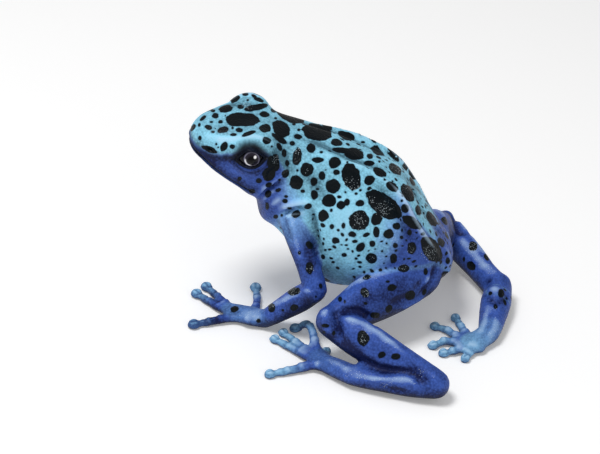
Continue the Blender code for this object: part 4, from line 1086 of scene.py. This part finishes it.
def wet_eye():
    """Eyeball under a wet cornea: near-black, with a violet-grey iris ring round a black pupil, a painted highlight
    crescent and a painted catchlight.
    """
    mat, tree, bsdf = new_material("wet_dark_eye")
    gaze = put(tree, "Attribute", attribute_name="gaze").outputs["Vector"]
    split = put(tree, "SeparateXYZ", {0: gaze})
    flat = put(tree, "CombineXYZ", {0: split.outputs[0], 1: split.outputs[1]})
    length = put(tree, "VectorMath", {0: flat}, operation="LENGTH").outputs["Value"]
    scale = put(tree, "Math", {0: length, 1: 0.56}, operation="MULTIPLY")
    ramp = put(tree, "ValToRGB", {"Fac": scale})
    while len(ramp.color_ramp.elements) < len(IRIS):
        ramp.color_ramp.elements.new(0.5)
    for element, (at, code) in zip(ramp.color_ramp.elements, IRIS):
        element.position, element.color = at / 2.0, linear(code)
    # painted highlight: a bright crescent on the iris ring ahead of the pupil and below it, and a painted
    # catchlight behind and above it
    aim = put(tree, "VectorMath", {0: flat}, operation="NORMALIZE")
    way = put(tree, "VectorMath", {0: aim, 1: (-0.84, -0.54, 0)}, operation="DOT_PRODUCT").outputs["Value"]
    spot = put(tree, "VectorMath", {0: flat, 1: (0.50, 0.36, 0)}, operation="DISTANCE").outputs["Value"]
    arc, inner, outer, catchlight = (
        put(tree, "MapRange", {"Value": v, 1: a, 2: b, 3: c, 4: d}, interpolation_type="SMOOTHSTEP")
        for v, a, b, c, d in ((way, 0.55, 0.95, 0, 1), (length, 0.70, 0.84, 0, 1), (length, 0.90, 1.00, 1, 0),
                              (spot, 0.10, 0.26, 0.9, 0)))
    band = put(tree, "Math", {0: inner, 1: outer}, operation="MULTIPLY")
    highlight_crescent = put(tree, "Math", {0: band, 1: arc}, operation="MULTIPLY")
    colour = ramp.outputs["Color"]
    for factor, code in ((highlight_crescent, "#f2f2f8"), (catchlight, "#ffffff")):
        colour = put(tree, "Mix", {FACTOR: factor, COLOUR_A: colour, COLOUR_B: linear(code)},
                     data_type="RGBA").outputs[BLEND]
    tree.links.new(colour, bsdf.inputs["Base Color"])
    for name, value in (("Roughness", 0.06), ("IOR", 1.376), ("Specular IOR Level", 0.12), ("Coat Weight", 0.12),
                        ("Coat Roughness", 0.03)):
        bsdf.inputs[name].default_value = value
    return mat


def build_skin():
    """The shaped skin, and the painted shade and highlight that its lines, bumps and digits lay on it."""
    skin = Skin(fused_skin())
    skin.relax(6)
    joint = np.zeros(len(skin.co))
    for side in SIDES:
        for key, reach in SOFT_JOINTS.items():
            d = lengths(skin.co - np.array(JOINTS[side][key]))
            joint = np.maximum(joint, smooth(reach * 1.25, reach * 0.8, d))
    skin.relax(10, joint, keep=0.0)
    skin.write()
    skin.read()
    skin.refine(near_head)
    skin.relax(2)
    skin.write()
    skin.refine(lambda co: near_face_parts(co) | near_digits(co) | near_ridge(skin, co))
    skin.relax(1)
    skin.write()
    skin.read()
    for shape in (shape_lids, shape_mouth, shape_nostrils_and_ears, shape_digits):
        shape(skin)
        skin.write()
    shape_lines(skin)
    skin.relax(1)
    skin.co[:, 2] = np.maximum(skin.co[:, 2], 0.0)
    skin.write()
    tone = skin.tone
    skin.read()
    return skin, tone


def pigment(skin, tone):
    """Soft fields of pigment, painted shade and painted highlight at the skin's points, and each point's share of
    limb and digit.
    """
    co, no = skin.co, skin.no
    limb, digit, pale, arm, loc = zones(co)
    h = head_place(co)
    s, side, up = loc[:, 0], np.abs(loc[:, 1]), loc[:, 2]
    swell, ripple = wave(co, 5.0, 3), wave(co, 2.0, 5)
    # trunk: light back and fore flank; blue below the ridge of the rear flank, on rump, chest and throat
    angle = np.degrees(np.arctan2(up, side))
    ridge = np.interp(s, *RIDGE_ANGLE) - 12 * smooth(0.6, -0.6, loc[:, 1])     # lower down on the far side
    below = smooth(ridge + 7, ridge - 3, angle)
    start = np.interp(up, *BLUE_START)
    rear = 0.60 * smooth(start + 1.2, start - 3.2, s + 0.7 * ripple) * below
    royal = smooth(9.2, 5.2, s - 0.25 * up + 0.5 * swell) * below
    rump = smooth(3.2, -0.5, s + 0.4 * swell)
    chest = smooth(18.0, 22.5, s) * smooth(0.8, -4.0, up - 0.25 * (s - 22) + 0.5 * ripple)
    under = 0.45 * smooth(-7.5, -10.5, up + 0.6 * swell)
    trunk = np.maximum.reduce([rear, royal, rump, chest, under])
    # head: light above a line from the snout over the nostril and the eye to the shoulder, royal below
    line = np.interp(h[:, 0], *FACE_LINE)
    head = smooth(-6.0, -3.8, h[:, 0])
    face = smooth(0.45, -0.55, h[:, 2] - line + 0.1 * ripple)
    blue = trunk * (1 - head) + face * head
    blue = np.maximum(blue * (1 - limb), limb * (0.50 + 0.50 * smooth(0.8, 2.1, arm)))
    # shade: painted shade, darker under and between forms, and painted highlight, lighter on the fore flank and
    # along the tops of limbs
    shade = 0.10 + 0.12 * swell + 0.10 * ripple + tone
    shade -= 0.16 * bell(s, 13.5, 4.5) * smooth(-7.0, -3.0, up) * smooth(6.0, 3.0, up)
    shade += 0.42 * bell(s, 26.3, 2.2) * bell(up, 1.2, 2.2) * (1 - face)
    shade += 0.25 * smooth(17, 22, s) * smooth(6, 2, up) * smooth(-3, 0, up)
    shade += 0.30 * smooth(-4.0, -9.0, up) * (1 - limb) * smooth(24, 20, s)
    shade += 0.75 * smooth(0.45, -0.60, no[:, 2]) * limb
    shade += 0.45 * bell(limb, 0.5, 0.3) * (s < 14)
    crown = smooth(0.80, 0.99, no @ unit((-0.25, -0.35, 0.90)))
    shade -= (0.12 + 0.26 * smooth(0.1, 0.3, digit)) * crown * limb
    # dusk, painted shadow near black, and more painted shade: round the eye, on the cheek below the light field, in
    # the mouth line, on the lower lip and under the jaw, along the canthus and under the limbs; with pale rim lines
    # under the eye
    f, dz = mouth_place(h)
    fore = (h[:, 0] > MOUTH_BACK) * smooth(1.06, 0.96, np.abs(f))
    shade += 0.55 * bell(h[:, 2], line - 0.9, 0.85) * smooth(-0.5, 2.0, h[:, 0]) * (h[:, 0] < 8.5)
    shade += 0.45 * smooth(-5.0, -6.6, h[:, 2]) * head
    shade += 0.62 * smooth(2.0, 0.5, dz) * smooth(-0.1, 0.3, dz) * fore
    shade += 0.30 * smooth(0.2, -0.8, dz) * fore
    canthus = smooth(0.6, 2.0, h[:, 0]) * smooth(7.5, 3.5, h[:, 0])
    painted_shadows = [fore * (0.55 * bell(dz, -0.62, 0.5) + 0.9 * bell(dz, 0, 0.2)), 0.62 * bell(dz, 0.22, 0.34) * fore,
             0.65 * limb * smooth(0.0, -0.8, no[:, 2]), 0.65 * bell(h[:, 2], line - 0.55, 0.55) * canthus]
    for k in (1, -1):
        e, q = eye_place(co, k)
        on = (e[:, 0] > -0.5) & (lengths(e) < 5.2)
        above = smooth(-0.6, 0.5, e[:, 2])
        ends = bell(e[:, 2], 0, 0.75) * smooth(3.6, 2.2, np.abs(e[:, 1]))
        ring = above * smooth(2.25, 1.32, q)
        ring += (1 - above) * np.maximum(smooth(1.12, 1.04, q), 0.6 * bell(q, 1.50, 0.12))
        shade -= on * (1 - above) * (0.6 * bell(q, 1.15, 0.05) + 0.4 * bell(q, 1.34, 0.05))
        shade += on * (1 - above) * 0.45 * smooth(2.6, 1.5, q)
        painted_shadows.append(on * np.maximum(ring, ends * smooth(1.9, 1.15, q)) * (0.95 + 0.05 * ripple))
    # granules with pale tips here and there on the far side; painted highlight dots on lit limbs and in the near
    # side's patches
    speck_highlight = 0.9 * smooth(0.45, 1.0, wave(co, 7.0, 21)) * (no @ BACK < 0.1)
    speck_highlight = np.maximum(speck_highlight, 1.35 * smooth(0.08, -0.22, shade) * limb * (1 - smooth(0.1, 0.3, digit)))
    at, facing = pixels(co), no @ BACK > 0.0
    for u, v, r in SPECK_HIGHLIGHTS:
        d2 = ((at - (u, v)) ** 2).sum(1) / r ** 2
        speck_highlight = np.maximum(speck_highlight, facing * np.exp(-d2 ** 2))
    painted_shadow = np.maximum.reduce(painted_shadows)
    return {"blue": blue, "shade": shade, "pale": pale, "painted_shadow": painted_shadow, "speck_highlight": speck_highlight}, limb, digit


def paint(skin, mesh, tone):
    """Write the fields of pigment, painted shade and painted highlight at the points, and the blots at the face
    corners.
    """
    co, no = skin.co, skin.no
    fields, limb, digit = pigment(skin, tone)
    for name, values in fields.items():
        values = np.clip(values, -1, 1).astype(np.float32)
        mesh.attributes.new(name, "FLOAT", "POINT").data.foreach_set("value", values)
    n = len(mesh.polygons)
    loops = np.zeros(len(mesh.loops), np.int32)
    mesh.loops.foreach_get("vertex_index", loops)
    starts, totals = np.zeros(n, np.int32), np.zeros(n, np.int32)
    mesh.polygons.foreach_get("loop_start", starts)
    mesh.polygons.foreach_get("loop_total", totals)
    centres, limb, digit = (np.add.reduceat(v[loops], starts, axis=0) / totals.reshape(-1, *[1] * (v.ndim - 1))
                            for v in (co, limb, digit))
    normals = np.add.reduceat(no[loops], starts, axis=0)
    normals /= lengths(normals)[:, None]
    marks = Markings(co, loops, totals, centres, normals)
    for row in MARKS:
        marks.from_frame(skin, *row)
        if row[1] < 200 and row[0] < 290:
            marks.mirror_last(skin)
    hidden = ~seen_faces(skin, centres, normals)
    to = CAMERA - centres
    outline = np.abs((normals * to).sum(1)) < 0.16 * lengths(to)
    h, loc = head_place(centres), (centres - PELVIS) @ M_TRUNK
    free = (h[:, 0] <= -4) | (h[:, 2] >= np.interp(np.abs(h[:, 0]), *BARE_TOP))
    for k in (1, -1):
        e, q = eye_place(centres, k)
        free &= (e[:, 0] <= 0) | (q >= 1.5)
    free &= (limb < 0.3) & (digit < 0.05)
    under = normals[:, 2] < -0.35
    arms = (limb > 0.6) & (digit < 0.05) & (centres[:, 2] >= 0.5)
    behind = (h[:, 0] < -1.0) & (loc[:, 0] - 0.4 * loc[:, 2] < 19)
    rng = np.random.default_rng(11)
    allowed = {"back": free & hidden & ~outline & ~under, "belly": free & hidden & under,
               "arms": arms & hidden, "dots": free & ~under & behind}
    for where, (sizes, tries, gap) in SCATTERED.items():
        marks.scatter(rng, sizes, tries, gap, allowed[where])
    for rank, name in enumerate(("blot_a", "blot_b")):
        data = marks.corners(rank).astype(np.float32)
        mesh.attributes.new(name, "FLOAT_VECTOR", "CORNER").data.foreach_set("vector", data.ravel())


def eyeball(s):
    """Smooth eyeball with a low corneal bulge, and its own gaze coordinates for the iris."""
    c, f = eye_centre(s), eye_frame(s)
    bm = bmesh.new()
    bmesh.ops.create_uvsphere(bm, u_segments=64, v_segments=40, radius=1.0)
    gaze = []
    for v in bm.verts:
        x, y, z = v.co.z, v.co.x, v.co.y
        q = (y / 0.66) ** 2 + (z / 0.40) ** 2
        r = EYE_RADIUS + (0.42 * math.exp(-q * 1.6) if x > 0 else 0.0)
        gaze.append((s * y * r, z * r, x * r))
        v.co = Vector(to_frame(c + f @ (np.array([x, y, z]) * r)))
    bmesh.ops.recalc_face_normals(bm, faces=bm.faces)
    mesh = bpy.data.meshes.new("eyeball")
    bm.to_mesh(mesh)
    bm.free()
    mesh.attributes.new("gaze", "FLOAT_VECTOR", "POINT").data.foreach_set(
        "vector", np.array(gaze, np.float32).ravel())
    return mesh


def show(name, mesh, material):
    ob = bpy.data.objects.new(name, mesh)
    bpy.context.scene.collection.objects.link(ob)
    mesh.materials.append(material)
    mesh.polygons.foreach_set("use_smooth", [True] * len(mesh.polygons))
    return ob


# Lights: name, place, width in metres and watts.
LIGHTS = [("key", (-0.12, -0.10, 0.38), 0.12, 0.95), ("fill", (0.25, -0.25, 0.18), 0.25, 0.15)]
PAPER, PAPER_GLOW, ROOM = "#fbfbfb", 0.16, 0.36
FLOOR_HALF, FLOOR_GAP = 1.5, 0.00001             # metres; the floor lies a hair below the feet


def studio():
    """Pale floor, a large soft key from the upper left, a weak fill, and a white room."""
    bm = bmesh.new()
    bmesh.ops.create_grid(bm, x_segments=1, y_segments=1, size=FLOOR_HALF)
    bmesh.ops.translate(bm, verts=bm.verts, vec=(0, 0, -FLOOR_GAP))
    mesh = bpy.data.meshes.new("floor")
    bm.to_mesh(mesh)
    bm.free()
    mat, _, bsdf = new_material("matt_white_paper")
    for key, value in (("Base Color", linear(PAPER)), ("Roughness", 0.9), ("Emission Color", (1, 1, 1, 1)),
                       ("Emission Strength", PAPER_GLOW)):
        bsdf.inputs[key].default_value = value
    floor = show("floor", mesh, mat)
    world = bpy.data.worlds.new("white_room")
    world.use_nodes = True
    for key, value in (("Color", (1, 1, 1, 1)), ("Strength", ROOM)):
        world.node_tree.nodes["Background"].inputs[key].default_value = value
    bpy.context.scene.world = world
    for name, at, size, watts in LIGHTS:
        light = bpy.data.lights.new(name, "AREA")
        light.size, light.energy = size, watts
        ob = bpy.data.objects.new(name, light)
        ob.location = at
        ob.rotation_euler = (Vector((0, 0, 0.012)) - Vector(at)).to_track_quat("-Z", "Y").to_euler()
        bpy.context.scene.collection.objects.link(ob)


def camera():
    cam = bpy.data.cameras.new("camera")
    cam.sensor_width, cam.lens = 36.0, FOCAL * 36.0 / FRAME[0]
    cam.clip_start = 0.005
    ob = bpy.data.objects.new("camera", cam)
    m = Matrix.Identity(4)
    for i, axis in enumerate((RIGHT, UP, BACK)):
        for k in range(3):
            m[k][i] = axis[k]
    for k, x in enumerate(to_frame(CAMERA)):
        m[k][3] = x
    ob.matrix_world = m
    bpy.context.scene.collection.objects.link(ob)
    bpy.context.scene.camera = ob


def main():
    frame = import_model()
    for o in list(bpy.data.objects):
        if o.type in ("CAMERA", "LIGHT"):
            bpy.data.objects.remove(o, do_unlink=True)
    skin, tone = build_skin()
    mesh = bpy.data.meshes.new("frog_skin")
    skin.bm.to_mesh(mesh)
    paint(skin, mesh, tone)
    mesh.vertices.foreach_set("co", to_frame(skin.co).astype(np.float32).ravel())
    mesh.update()
    body = show("frog_skin", mesh, frog_skin())
    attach(body, "root")
    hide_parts(*[n for n in frame["nodes"] if not n.startswith("eye")])
    wet = wet_eye()
    for side, s in (("left", 1), ("right", -1)):
        eye = show("eyeball_" + side, eyeball(s), wet)
        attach(eye, "root")
        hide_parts("eye_" + side)
    studio()
    camera()
    bpy.context.scene.view_settings.view_transform = "Standard"
    bpy.context.view_layer.update()


main()
